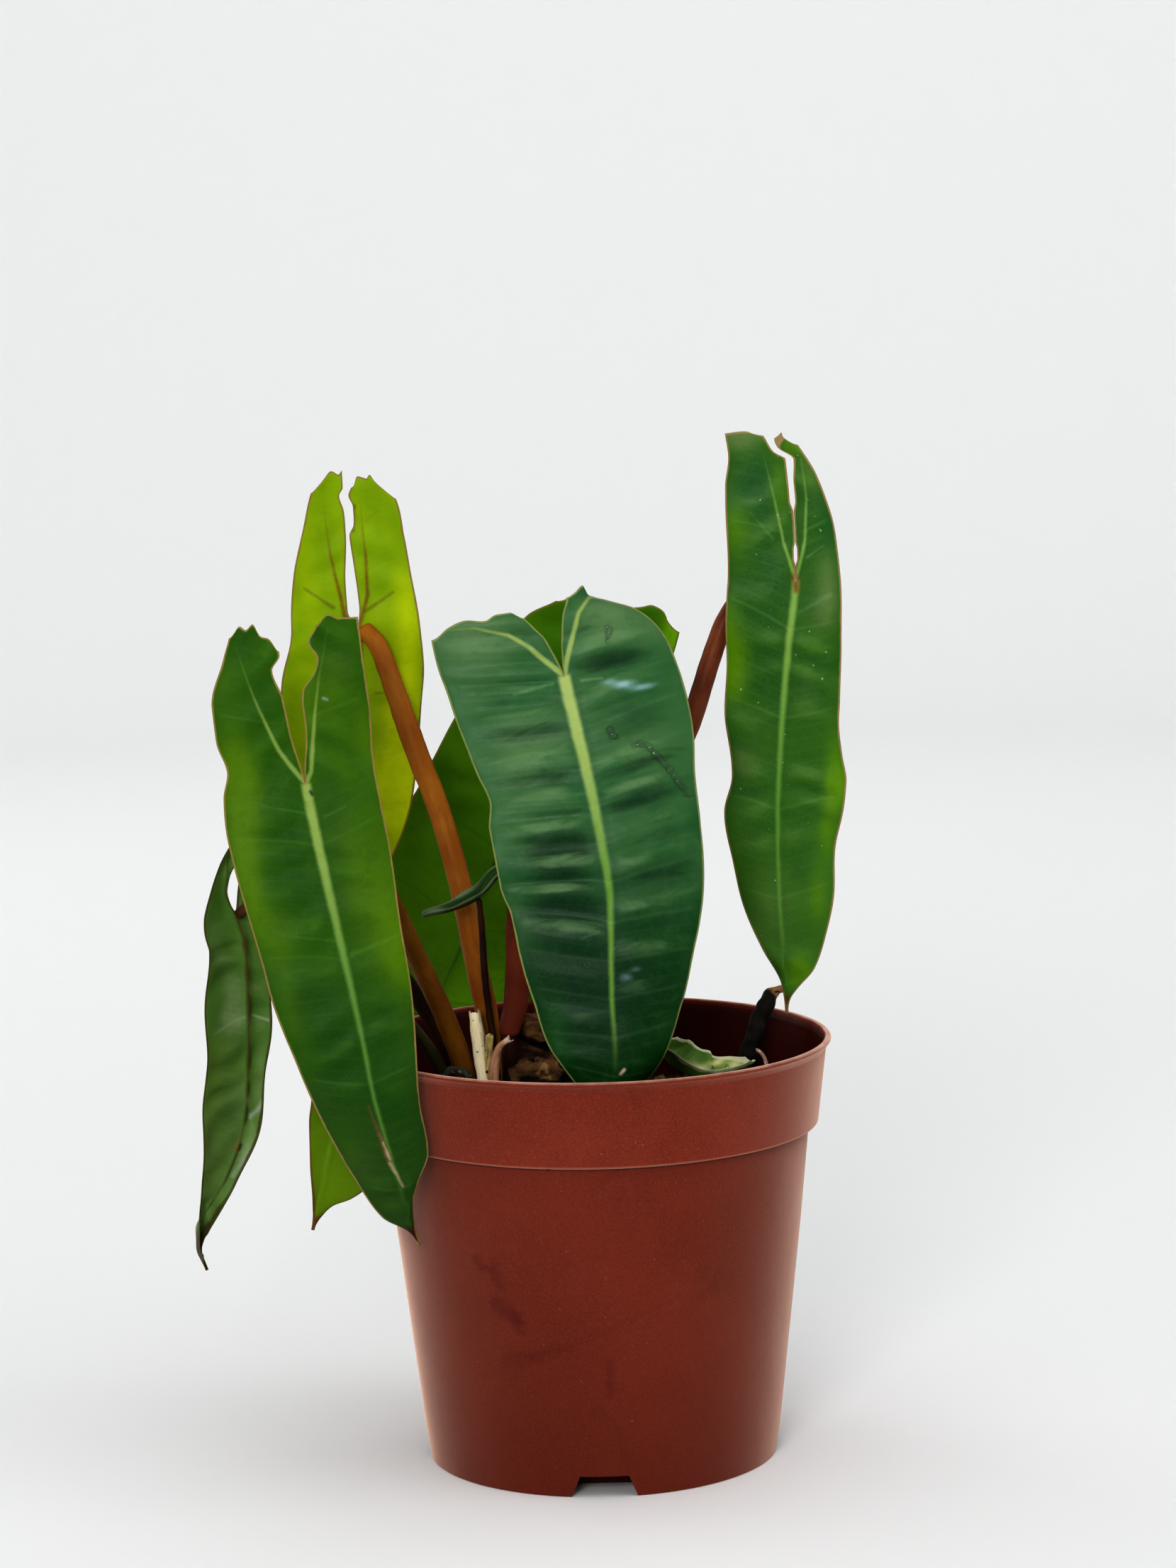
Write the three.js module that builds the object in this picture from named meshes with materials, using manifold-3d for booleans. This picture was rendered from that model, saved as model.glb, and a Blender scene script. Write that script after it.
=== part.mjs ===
// A potted billietiae philodendron, in millimetres. The pot's base centre is
// the origin, Z is up and the viewer's side is -Y.
import * as THREE from "three";
import { mergeVertices } from "three/addons/utils/BufferGeometryUtils.js";
import Module from "manifold-3d";

// driving dimensions of the pot
const POT_HIGH = 108.4;
const RIM_RADIUS = 61;
const SHOULDER_HIGH = 83.4;
const BASE_RADIUS = 45.3;
// the wall's outside where the foot's bend ends and halfway up
const [FOOT_RADIUS, FOOT_HIGH] = [46.8, 13];
const [MIDDLE_RADIUS, MIDDLE_HIGH] = [51.5, 60];
// the wall's inside where it steps out into the collar
const [LEDGE_RADIUS, LEDGE_HIGH] = [52.7, SHOULDER_HIGH + 0.9];
const POT_WALL = 1.1;
const POT_FLOOR = 1.4;
const POT_FACETS = 48;
const SOIL_FACETS = 32;
// drainage notches in the foot of the wall, each with a short raised channel
const NOTCH_TURNS = [0, 90, 180, 270];
const NOTCH_HIGH = 5.5;
const NOTCH_TOP = 12.3;
const NOTCH_FOOT = 17;
const CHANNEL_DEEP = 13;
const CHANNEL_WALL = 1.2;
const DRAIN_WIDE = 3.5;
// level of the potting soil away from the crown, and the mound at the crown
const SOIL_LEVEL = 87;
const SOIL_RADIUS = 55.9;
const MOUND_HIGH = 7.5;
const MOUND_SPREAD = 420;
const CROWN_AT = [-24, -1];
// thickness of a blade, and the gap kept between pieces that meet
const BLADE_THICK = 0.8;
const GAP = 0.3;
// half width of a blade at its very tip, and where its waves begin to die out
const TIP = 0.4;
const CALM_END = 15;

const TERRACOTTA = 0x7a3023;
const SOIL = 0x2a1c14;
const WOOD = 0x4a3524;

const wasm = await Module();
wasm.setup();

// a closed three.js geometry as a solid that can be cut and joined
function toSolid(geometry) {
  const bare = geometry.clone();
  bare.deleteAttribute("normal");
  bare.deleteAttribute("uv");
  const merged = mergeVertices(bare, 1e-4);
  const index = Array.from(merged.index.array);
  const kept = [];
  for (let i = 0; i < index.length; i += 3) {
    const [a, b, c] = index.slice(i, i + 3);
    if (a !== b && b !== c && c !== a) kept.push(a, b, c);
  }
  return new wasm.Manifold(new wasm.Mesh({
    numProp: 3,
    vertProperties: new Float32Array(merged.attributes.position.array),
    triVerts: new Uint32Array(kept),
  }));
}

function toGeometry(body) {
  const mesh = body.getMesh();
  const geometry = new THREE.BufferGeometry();
  const xyz = new Float32Array(mesh.vertProperties);
  geometry.setAttribute("position", new THREE.BufferAttribute(xyz, 3));
  geometry.setIndex(Array.from(mesh.triVerts));
  geometry.computeVertexNormals();
  return geometry;
}

// a geometry from corners and the numbers of each triangle's corners
function fromTriangles(points, triangles) {
  const geometry = new THREE.BufferGeometry().setFromPoints(points);
  geometry.setIndex(triangles);
  return geometry;
}

// the largest of a body's separate lumps
function largest(body) {
  const lumps = body.decompose();
  lumps.sort((a, b) => b.volume() - a.volume());
  return lumps[0];
}

const vec = (p) => new THREE.Vector3(p[0], p[1], p[2]);

// a smooth curve of one value through [position, value] pairs
function through(pairs) {
  const slope = pairs.map((p, i) => {
    if (i === 0 || i === pairs.length - 1) return 0;
    const before = pairs[i - 1];
    const after = pairs[i + 1];
    const rise = (p[1] - before[1]) * (after[1] - p[1]);
    if (rise <= 0) return 0;
    return (after[1] - before[1]) / (after[0] - before[0]);
  });
  return (u) => {
    const last = pairs.length - 1;
    if (u <= pairs[0][0]) return pairs[0][1];
    if (u >= pairs[last][0]) return pairs[last][1];
    let k = 0;
    while (u > pairs[k + 1][0]) k += 1;
    const step = pairs[k + 1][0] - pairs[k][0];
    const t = (u - pairs[k][0]) / step;
    const t2 = t * t;
    const t3 = t2 * t;
    return (2 * t3 - 3 * t2 + 1) * pairs[k][1]
      + (t3 - 2 * t2 + t) * step * slope[k]
      + (3 * t2 - 2 * t3) * pairs[k + 1][1]
      + (t3 - t2) * step * slope[k + 1];
  };
}

// a smooth line in space through points, measured in mm from one of them
function line(points, zeroAt) {
  const p = points.map(vec);
  const at = [0];
  for (let i = 1; i < p.length; i += 1) {
    at.push(at[i - 1] + p[i].distanceTo(p[i - 1]));
  }
  const zero = at[zeroAt];
  const knots = at.map((a) => a - zero);
  const tangent = p.map((_, i) => {
    const a = Math.max(i - 1, 0);
    const b = Math.min(i + 1, p.length - 1);
    return p[b].clone().sub(p[a]).divideScalar(knots[b] - knots[a]);
  });
  const last = p.length - 1;
  const place = (u) => {
    if (u <= knots[0]) {
      return p[0].clone().addScaledVector(tangent[0], u - knots[0]);
    }
    if (u >= knots[last]) {
      return p[last].clone().addScaledVector(tangent[last], u - knots[last]);
    }
    let k = 0;
    while (u > knots[k + 1]) k += 1;
    const step = knots[k + 1] - knots[k];
    const t = (u - knots[k]) / step;
    const t2 = t * t;
    const t3 = t2 * t;
    return new THREE.Vector3()
      .addScaledVector(p[k], 2 * t3 - 3 * t2 + 1)
      .addScaledVector(tangent[k], (t3 - 2 * t2 + t) * step)
      .addScaledVector(p[k + 1], 3 * t2 - 2 * t3)
      .addScaledVector(tangent[k + 1], (t3 - t2) * step);
  };
  return { place, start: knots[0], end: knots[last] };
}

// A blade lies on an axis that runs between its two back lobes, through the
// place where the petiole joins (u = 0) and down the midrib to the tip.
// u is millimetres along the axis and s millimetres across it, to the
// viewer's right when the named face looks at the viewer.
//   axis, join       the axis points, and which of them is the joining place
//   face             the way the visible side looks
//   left, right      half widths at some u
//   slitL, slitR     inner edges of the lobes at some u above the joint
//   topL, topR       how high each lobe reaches, from its inner to its outer edge
//   fold, bend       slope of the halves to the viewer, and how far a margin
//                    stands toward (+) or behind (-) that slope, left and right
//   pleat            height and spacing of the folds between side veins
//   wave             height, length and start of the waves in the margin
//   rib              height of the midrib and the side it stands on
//   rows, cells      cells along the blade and across each half

function bladeSurface(d) {
  const axis = line(d.axis, d.join);
  const left = through(d.left);
  const right = through(d.right);
  const slitL = through(d.slitL);
  const slitR = through(d.slitR);
  const topL = through(d.topL);
  const topR = through(d.topR);
  const face = vec(d.face).normalize();
  const [pleatHigh, pleatStep, pleatSlant] = d.pleat;
  const [waveHigh, waveStep, waveStart] = d.wave;

  const frame = (u) => {
    const along = axis.place(u + 0.5).sub(axis.place(u - 0.5)).normalize();
    const across = face.clone().cross(along).normalize();
    const out = along.clone().cross(across);
    return { across, out };
  };

  // place of the blade's middle layer at u, s
  const place = (u, s) => {
    const side = s < 0 ? 0 : 1;
    const half = side === 0 ? left(u) : right(u);
    const q = Math.min(Math.abs(s) / Math.max(half, 1), 1);
    const { across, out } = frame(u);
    const inside = Math.min(1, Math.max(0, (axis.end - u) / CALM_END));
    const swell = Math.sin(Math.PI * Math.pow(q, 0.8));
    const phase = (u - pleatSlant * Math.abs(s)) / pleatStep;
    const lift = d.fold[side] * Math.abs(s)
      + d.bend[side] * q * q
      + pleatHigh * inside * swell * Math.sin(2 * Math.PI * phase)
      + waveHigh * inside * q * q * q
        * Math.sin(2 * Math.PI * (u + waveStart * (side * 2 - 1)) / waveStep);
    return axis.place(u).addScaledVector(across, s).addScaledVector(out, lift);
  };
  return { place, left, right, slitL, slitR, topL, topR, end: axis.end };
}

function blade(d, extra = 0) {
  const f = bladeSurface(d);
  const n = d.cells;
  const lobeRows = d.lobeRows;
  const grid = [];
  // rows of the two lobes, then rows of the main blade
  for (let row = 0; row <= lobeRows + d.rows; row += 1) {
    const cellsOfRow = { left: [], right: [] };
    for (const side of ["left", "right"]) {
      const sign = side === "left" ? -1 : 1;
      const outer = side === "left" ? f.left : f.right;
      const inner = side === "left" ? f.slitL : f.slitR;
      const top = side === "left" ? f.topL : f.topR;
      for (let k = 0; k <= n; k += 1) {
        const q = k / n;
        let u;
        let s;
        if (row < lobeRows) {
          u = -top(q) * (1 - row / lobeRows);
          s = sign * (inner(u) + (outer(u) - inner(u)) * q);
        } else {
          u = f.end * Math.pow((row - lobeRows) / d.rows, 0.95);
          s = sign * outer(u) * q;
        }
        cellsOfRow[side].push([u, s]);
      }
    }
    grid.push(cellsOfRow);
  }
  // both faces, set off from the middle layer along the surface's own normal
  const points = [];
  const index = new Map();
  const ribSide = Math.sign(d.rib[1]);
  const vertex = (u, s, sideSign, faceSign) => {
    const key = [u.toFixed(4), s.toFixed(4), Math.abs(s) < 1e-6 ? 0 : sideSign, faceSign].join();
    if (index.has(key)) return index.get(key);
    const e = 0.15;
    const inward = -sideSign * e;
    const p = f.place(u, s);
    const du = f.place(u + e, s).sub(f.place(u - e, s));
    const ds = Math.abs(s) < 1e-6
      ? f.place(u, e).sub(f.place(u, -e))
      : f.place(u, s + inward).sub(p).multiplyScalar(-sideSign);
    const normal = du.cross(ds).normalize();
    let off = (BLADE_THICK / 2 + extra) * faceSign;
    if (Math.abs(s) < 1e-6 && u > -0.1 && faceSign === ribSide) {
      const fade = Math.max(0, 1 - u / (0.85 * f.end));
      off += ribSide * d.rib[0] * fade;
    }
    p.addScaledVector(normal, off);
    points.push(p);
    index.set(key, points.length - 1);
    return points.length - 1;
  };
  const triangles = [];
  const quad = (a, b, c, e) => {
    if (a !== b && b !== c && c !== a) triangles.push(a, b, c);
    if (a !== c && c !== e && e !== a) triangles.push(a, c, e);
  };
  for (const side of ["left", "right"]) {
    const sign = side === "left" ? -1 : 1;
    const last = grid.length - 1;
    const front = grid.map((r) => r[side].map(([u, s]) => vertex(u, s, sign, 1)));
    const back = grid.map((r) => r[side].map(([u, s]) => vertex(u, s, sign, -1)));
    for (let i = 0; i < last; i += 1) {
      for (let k = 0; k < n; k += 1) {
        const a = front[i];
        const b = front[i + 1];
        const c = back[i];
        const e = back[i + 1];
        if (sign > 0) {
          quad(a[k], b[k], b[k + 1], a[k + 1]);
          quad(c[k], c[k + 1], e[k + 1], e[k]);
        } else {
          quad(a[k], a[k + 1], b[k + 1], b[k]);
          quad(c[k], e[k], e[k + 1], c[k + 1]);
        }
      }
      // the outer edge, and the inner edge of a lobe
      const wall = (p, r, pb, rb) => (sign > 0 ? quad(p, r, rb, pb) : quad(p, pb, rb, r));
      wall(front[i][n], front[i + 1][n], back[i][n], back[i + 1][n]);
      if (i < lobeRows) wall(front[i + 1][0], front[i][0], back[i + 1][0], back[i][0]);
    }
    // the lobe's end and the tip
    for (let k = 0; k < n; k += 1) {
      const wall = (p, r, pb, rb) => (sign > 0 ? quad(p, r, rb, pb) : quad(p, pb, rb, r));
      wall(front[0][k], front[0][k + 1], back[0][k], back[0][k + 1]);
      wall(front[last][k + 1], front[last][k], back[last][k + 1], back[last][k]);
    }
  }
  return toSolid(fromTriangles(points, triangles));
}

// a petiole, root or dry sheath: a tapering rod along a smooth curve, its
// radii given at even steps from its foot, flattened by "flat" if it is a strip
function rod(points, radii, sides, grow = 0, flat = 1) {
  const ends = points.map(vec);
  const last = ends.length - 1;
  const foot = ends[0].clone().sub(ends[1]).setLength(grow + 1e-6);
  const head = ends[last].clone().sub(ends[last - 1]).setLength(grow + 1e-6);
  ends[0].add(foot);
  ends[last].add(head);
  const curve = new THREE.CatmullRomCurve3(ends, false, "centripetal");
  const steps = Math.max(3 * last, Math.round(curve.getLength() / 8));
  const section = new THREE.Shape();
  for (let k = 0; k < sides; k += 1) {
    const angle = (2 * Math.PI * k) / sides;
    const corner = [Math.cos(angle), flat * Math.sin(angle)];
    if (k === 0) section.moveTo(...corner);
    else section.lineTo(...corner);
  }
  section.closePath();
  const geometry = new THREE.ExtrudeGeometry(section, {
    steps,
    extrudePath: curve,
    bevelEnabled: false,
  });
  // the extrusion is 1 mm in radius: draw each ring out to the rod's radius
  const radius = through(radii.map((r, i) => [i / (radii.length - 1), r]));
  const centres = curve.getSpacedPoints(steps);
  const at = geometry.attributes.position;
  for (let i = 0; i < at.count; i += 1) {
    const p = new THREE.Vector3().fromBufferAttribute(at, i);
    const distances = centres.map((c) => c.distanceToSquared(p));
    const ring = distances.indexOf(Math.min(...distances));
    p.sub(centres[ring]).multiplyScalar(radius(ring / steps) + grow).add(centres[ring]);
    at.setXYZ(i, p.x, p.y, p.z);
  }
  return toSolid(geometry);
}

// a lump of wood or bark: a ball drawn out and dented
function lump(centre, radii, seed, grow = 0, detail = 2) {
  const ball = new THREE.IcosahedronGeometry(1, detail);
  const at = ball.attributes.position;
  for (let i = 0; i < at.count; i += 1) {
    const d = new THREE.Vector3().fromBufferAttribute(at, i);
    const dent = 1 + 0.09 * Math.sin(3.1 * d.x + seed) * Math.cos(2.7 * d.y - seed)
      + 0.06 * Math.sin(5.3 * d.z + 2 * seed + d.x);
    at.setXYZ(
      i,
      centre[0] + d.x * (radii[0] * dent + grow),
      centre[1] + d.y * (radii[1] * dent + grow),
      centre[2] + d.z * (radii[2] * dent + grow),
    );
  }
  return toSolid(ball);
}

// a body turned about the Z axis from [radius, height] pairs
function turned(profile, facets = POT_FACETS) {
  const points = profile.map(([r, z]) => new THREE.Vector2(r, z));
  const geometry = new THREE.LatheGeometry(points, facets);
  geometry.rotateX(Math.PI / 2);
  return geometry;
}

const potOutside = [
  [0, 0],
  [BASE_RADIUS, 0],
  [FOOT_RADIUS, FOOT_HIGH],
  [MIDDLE_RADIUS, MIDDLE_HIGH],
  [53.9, SHOULDER_HIGH],
  [57.4, SHOULDER_HIGH + 3.2],
  [58.8, 94.8],
  [59.5, 105.6],
  [RIM_RADIUS - 0.4, 106.4],
  [RIM_RADIUS, 107.4],
  [RIM_RADIUS - 0.4, POT_HIGH],
];
const potInside = [
  [59.3, POT_HIGH],
  [58.5, 105.6],
  [57.7, 94.8],
  [56.3, SHOULDER_HIGH + 3.9],
  [LEDGE_RADIUS, LEDGE_HIGH],
  [MIDDLE_RADIUS - POT_WALL, MIDDLE_HIGH],
  [FOOT_RADIUS - POT_WALL, FOOT_HIGH],
  [BASE_RADIUS - POT_WALL, POT_FLOOR],
  [0, POT_FLOOR],
];

// a prism with a trapezoid end, lying along +X from one radius to another
function notchPrism(foot, top, low, high, from, to) {
  const end = new THREE.Shape();
  end.moveTo(-foot / 2, low);
  end.lineTo(foot / 2, low);
  end.lineTo(top / 2, high);
  end.lineTo(-top / 2, high);
  end.closePath();
  const geometry = new THREE.ExtrudeGeometry(end, { depth: to - from, bevelEnabled: false });
  geometry.rotateX(Math.PI / 2);
  geometry.rotateZ(Math.PI / 2);
  geometry.translate(from, 0, 0);
  return toSolid(geometry);
}

const CHANNEL_END = BASE_RADIUS + 0.7 - CHANNEL_DEEP;

function channelShell(grow = 0) {
  const side = 2 * (CHANNEL_WALL + grow);
  return notchPrism(
    NOTCH_FOOT + side,
    NOTCH_TOP + side,
    0,
    NOTCH_HIGH + CHANNEL_WALL + grow,
    CHANNEL_END - CHANNEL_WALL - grow,
    BASE_RADIUS + 4,
  );
}

function makePot() {
  const envelope = toSolid(turned([...potOutside, [0, POT_HIGH]]));
  const channel = notchPrism(NOTCH_FOOT, NOTCH_TOP, 0, NOTCH_HIGH, CHANNEL_END, BASE_RADIUS + 15);
  const below = notchPrism(NOTCH_FOOT, NOTCH_FOOT, -2, 0.01, CHANNEL_END, BASE_RADIUS + 15);
  const drainFrom = CHANNEL_END + DRAIN_WIDE;
  const drain = notchPrism(
    DRAIN_WIDE, DRAIN_WIDE, NOTCH_HIGH - 2, NOTCH_HIGH + 3, drainFrom, drainFrom + DRAIN_WIDE,
  );
  const cut = channel.add(below).add(drain);
  let pot = toSolid(turned([...potOutside, ...potInside]));
  for (const turn of NOTCH_TURNS) {
    const shell = channelShell().rotate([0, 0, turn]).intersect(envelope);
    pot = pot.add(shell).subtract(cut.rotate([0, 0, turn]));
  }
  return pot;
}

// the leaves, named by where the viewer meets them
const leaves = {
  // front left, green, upper side to the viewer
  leaf_front_left: {
    axis: [
      [-72.5, -42, 222], [-72, -42, 203], [-69.5, -42, 181], [-63.5, -47, 151],
      [-57.5, -50, 121.5], [-54.5, -49.5, 103.5], [-51, -46.5, 88.5],
      [-47, -41, 71], [-45, -37, 63.5],
    ],
    join: 2,
    face: [0.05, -1, 0.1],
    left: [
      [-41, 14], [-31, 16.5], [-21, 20], [-13, 20], [-6, 18.5], [0, 20.5], [10, 21.5],
      [25, 21], [40, 20], [52, 19.5], [68, 17], [84, 13.5], [99, 10.5], [112, 6.5], [123, TIP],
    ],
    right: [
      [-41, 17], [-35, 17.5], [-17, 18.5], [-3, 17.5], [20, 17], [38, 15.5], [54, 14.5],
      [66, 13], [85, 10.5], [98, 9], [105, 4.5], [112, 1.5], [123, TIP],
    ],
    slitL: [[-40, 3.5], [-32, 2.5], [-28.5, 4.5], [-22, 2.5], [-12, 1.5], [0, 0]],
    slitR: [[-39, 6.5], [-35, 4.5], [-31, 6.5], [-27, 5.5], [-23, 2.5], [-12, 2], [0, 0]],
    topL: [[0, 33], [0.15, 36], [0.35, 37], [0.5, 40], [0.65, 38.5], [0.8, 39.5], [1, 36.5]],
    topR: [[0, 39], [0.3, 41.5], [0.55, 40.5], [1, 40.5]],
    fold: [0.06, 0.06],
    bend: [-4, -3.5],
    pleat: [0.3, 11, 0.35],
    wave: [0.6, 34, 6],
    rib: [0.9, -1],
    lobeRows: 10,
    rows: 15,
    cells: 4,
    colour: 0x2f6a22,
  },
  // back left, lit through from behind, underside to the viewer
  leaf_back_left: {
    axis: [
      [-60.5, 12, 255], [-60.5, 14, 238.5], [-58.5, 14, 215], [-60.5, 16, 193.5],
      [-63, 18, 165], [-65, 18, 143], [-66, 16, 128],
    ],
    join: 2,
    face: [0, -1, 0.05],
    left: [
      [-40, 6.5], [-35, 9], [-25.5, 11.5], [-15.5, 15], [-6, 17], [5, 17.5], [17, 19],
      [35, 18.5], [55, 14], [75, 7], [87, TIP],
    ],
    right: [
      [-39, 8.5], [-33, 13], [-22, 14.5], [-10, 15], [0, 16], [12, 17.5], [28, 17.5],
      [40, 17], [48, 16], [57, 13.5], [72, 7.5], [87, TIP],
    ],
    slitL: [
      [-40, 1], [-36, 0.9], [-34, 1.9], [-30, 0.8], [-24, 0.6], [-12, 2.2], [-4, 2.6],
      [-1.5, 1.6], [0, 0],
    ],
    slitR: [[-37, 1.5], [-34, 0.5], [-31, 1.6], [-26, 1.5], [-23.5, 0.3], [-15, 0.5], [-5, 0.5], [0, 0]],
    topL: [[0, 40.5], [0.15, 39.5], [0.5, 40.5], [0.75, 39], [1, 35]],
    topR: [[0, 36], [0.2, 39], [0.55, 38.5], [0.65, 39.5], [0.85, 37], [1, 33.5]],
    fold: [-0.05, -0.05],
    bend: [3, 3],
    pleat: [0.3, 12, 0.35],
    wave: [0.5, 30, 4],
    rib: [1, 1],
    lobeRows: 9,
    rows: 12,
    cells: 4,
    colour: 0x9cbc00,
  },
  // far left, dark, hanging beside the pot, underside to the viewer
  leaf_far_left: {
    axis: [
      [-89, 2, 165], [-91.5, 0, 142], [-89.8, -1, 135], [-89.3, -1.5, 118.5],
      [-89.8, -1, 103.5], [-91.5, 0, 87], [-96.5, 1, 73.5], [-103, 2, 62.5],
      [-104.5, 2, 55.5], [-102.3, 1, 49],
    ],
    join: 1,
    face: [0.6, -0.8, 0.05],
    left: [
      [-23, 3], [-18, 6], [-13.5, 8], [-5, 9.5], [3, 11.5], [20, 13.5], [43, 14],
      [58, 13], [70, 8.5], [78, 4.5], [85, 2.3], [91, 1.5], [96.5, TIP],
    ],
    right: [
      [-23, 8], [-14, 9], [-5, 8], [8, 7.5], [24, 6.5], [42, 5], [56, 3.5], [66, 3],
      [73, 2.5], [80, 1.8], [87, 0.9], [96.5, TIP],
    ],
    slitL: [[-20, 0.3], [-15, 0.8], [-10, 2.8], [-7, 2.8], [-3, 1.5], [0, 0]],
    slitR: [[-20, 0.6], [-14, 0.3], [-10, 0.5], [-4, 0.3], [0, 0]],
    topL: [[0, 17], [0.4, 21], [0.8, 20.5], [1, 17]],
    topR: [[0, 17], [0.4, 21], [0.8, 20], [1, 17]],
    fold: [-0.12, -0.25],
    bend: [4, 3],
    pleat: [0.4, 10, 0.3],
    wave: [0.8, 26, 3],
    rib: [0.9, 1],
    lobeRows: 4,
    rows: 13,
    cells: 4,
    colour: 0x2f4a2c,
  },
  // low left, mostly behind the front left leaf
  leaf_low_left: {
    axis: [
      [-57, -19, 140], [-59.5, -23, 125.5], [-62.5, -27, 108], [-66.5, -27.5, 90],
      [-70, -26, 76], [-72.5, -24, 65],
    ],
    join: 1,
    face: [0, -1, 0.05],
    left: [
      [-15, 5], [-8, 7.5], [0, 9], [10, 9], [20, 8.5], [28.5, 7], [34, 6.5], [45, 4],
      [54, 1.5], [62, TIP],
    ],
    right: [
      [-15, 4], [-8, 4.5], [0, 4.5], [10, 4.5], [20, 5.5], [30, 8.5], [40, 10.5], [48, 11],
      [52.5, 8], [55.5, 3.8], [59, 1.5], [62, TIP],
    ],
    slitL: [[-14, 0.8], [-6, 0.8], [0, 0]],
    slitR: [[-14, 0.8], [-6, 0.8], [0, 0]],
    topL: [[0, 12], [0.5, 14.5], [1, 12]],
    topR: [[0, 12], [0.5, 14.5], [1, 12]],
    fold: [0, 0],
    bend: [1, -1],
    pleat: [0.2, 10, 0.3],
    wave: [0.3, 22, 2],
    rib: [0.6, 1],
    lobeRows: 3,
    rows: 12,
    cells: 3,
    colour: 0x4c7c12,
  },
  // centre front, broad and pleated, its tip inside the pot
  leaf_centre_front: {
    axis: [
      [-8, -33, 224], [-5.5, -35, 205.5], [-3, -38, 194], [0, -42, 180.5],
      [2.5, -45, 167], [4.5, -47, 153], [4.5, -49, 139], [4.5, -50, 125.5],
      [5, -51, 114.5], [4.5, -51, 106], [3.5, -50.5, 97.5],
    ],
    join: 1,
    face: [0, -1, 0.15],
    left: [
      [-18, 31], [-7.5, 30.5], [0, 29], [7.5, 28], [18.5, 26.5], [26.5, 25], [34, 26.5],
      [48, 26.5], [60, 24.5], [74, 21.5], [82, 19], [94, 15.5], [101, 11], [107, 5], [110.5, TIP],
    ],
    right: [
      [-19, 9.5], [-17, 13.5], [-14, 20], [-9.5, 24.5], [-4, 27], [2, 28], [11, 28.5],
      [20, 28], [30, 26],
      [41, 25], [51, 24], [62, 22], [72, 20], [81, 18], [91, 14.5], [100, 9.5], [107, 4],
      [110.5, TIP],
    ],
    slitL: [[-18, 8.5], [-13, 5.5], [-10, 3.2], [-7, 2], [-4, 0.9], [0, 0]],
    slitR: [[-19, 3.5], [-15, 2], [-9.5, 0.9], [-6, 0.4], [0, 0]],
    topL: [[0, 15.5], [0.1, 17.5], [0.25, 17.5], [0.4, 16.3], [0.6, 17.2], [0.8, 16], [1, 13.5]],
    topR: [[0, 19], [0.4, 20], [0.75, 21.5], [0.9, 19.3], [1, 18.6]],
    fold: [0.03, 0.1],
    bend: [-2.5, -7.5],
    pleat: [0.9, 9.5, 0.02],
    wave: [0.4, 30, 5],
    rib: [1, -1],
    lobeRows: 9,
    rows: 40,
    cells: 5,
    colour: 0x355f42,
  },
  // right, tall and wavy, hanging outside the pot's mouth
  leaf_right: {
    axis: [
      [52.5, 9, 261], [54, 10, 244.5], [54.3, 10, 224.5], [52.5, 10.5, 209.5],
      [51, 12, 195], [49.8, 13, 180], [49, 14, 165], [49, 16, 146], [49.8, 18, 129],
      [50.7, 20, 109.5],
    ],
    join: 2,
    face: [-0.12, -1, 0.05],
    left: [
      [-40, 15.5], [-34.5, 15.3], [-26, 17], [-12, 17.5], [2, 17.5], [11, 17], [24, 15.5],
      [36, 15], [46, 13], [52.5, 12.3], [61, 14], [73.5, 12], [85.5, 9.8], [97.5, 5.5],
      [107, 1.2], [115.5, TIP],
    ],
    right: [
      [-38, 0.2], [-35.5, 1.9], [-33, 3.4], [-28, 6], [-22, 8], [-15, 9.8], [-7, 10.8],
      [13, 13.2], [30, 14.5], [37, 14.7], [45, 16], [52, 17.5], [60, 17], [71, 14.8], [84, 14.2],
      [94.5, 11.5], [104, 7.8], [109, 3.2], [112, 1], [115.5, TIP],
    ],
    slitL: [
      [-39, 7], [-38, 5.8], [-35, 4.4], [-33.6, 3.6], [-32.5, 2.2], [-31.5, 0.8], [-20.5, 1],
      [-14.5, 0.3], [-5, 0.4], [0, 0],
    ],
    slitR: [
      [-38.3, -2], [-36.8, -3.1], [-34.5, -2.4], [-33.4, -1.2], [-32.6, 0], [-31.2, 1.2],
      [-25, 0.6], [-20, 0.8], [-14, 0.5], [-7, 0.9], [0, 0],
    ],
    topL: [[0, 38], [0.3, 39.3], [0.6, 39.6], [1, 39.5]],
    topR: [[0, 37], [0.4, 38.3], [1, 34.5]],
    fold: [0.08, 0.05],
    bend: [-3, -3.5],
    pleat: [0.25, 12, 0.3],
    wave: [0.7, 28, 4],
    rib: [1, -1],
    lobeRows: 11,
    rows: 16,
    cells: 4,
    colour: 0x2d6418,
  },
  // behind the centre, its lower end outside the back of the pot
  leaf_centre_back: {
    axis: [
      [8, 37, 228], [-2, 40, 205], [-10, 42, 185.5], [-18, 46, 166.5], [-27, 51, 145],
      [-35.5, 56, 124], [-43, 61.5, 108], [-49, 64, 92],
    ],
    join: 1,
    face: [0, -1, 0.05],
    left: [
      [-13, 9.5], [-4, 16], [10, 20.5], [28, 24], [42, 25.5], [52, 26.5], [60, 28], [70, 28],
      [85, 23], [105, 12], [125.5, TIP],
    ],
    right: [
      [-22, 20], [-17, 22.5], [-5, 24], [12, 24.5], [28, 25], [42, 25], [55, 24.5], [70, 22.5],
      [85, 20], [97, 17], [107, 12], [116, 6], [125.5, TIP],
    ],
    slitL: [[-20, 3.5], [-10, 1.5], [0, 0]],
    slitR: [[-20, 6], [-12, 2.5], [0, 0]],
    topL: [[0, 13], [0.5, 14.5], [1, 10.5]],
    topR: [[0, 14], [0.3, 17], [0.5, 19], [0.7, 18.5], [0.8, 16.5], [1, 15]],
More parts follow.
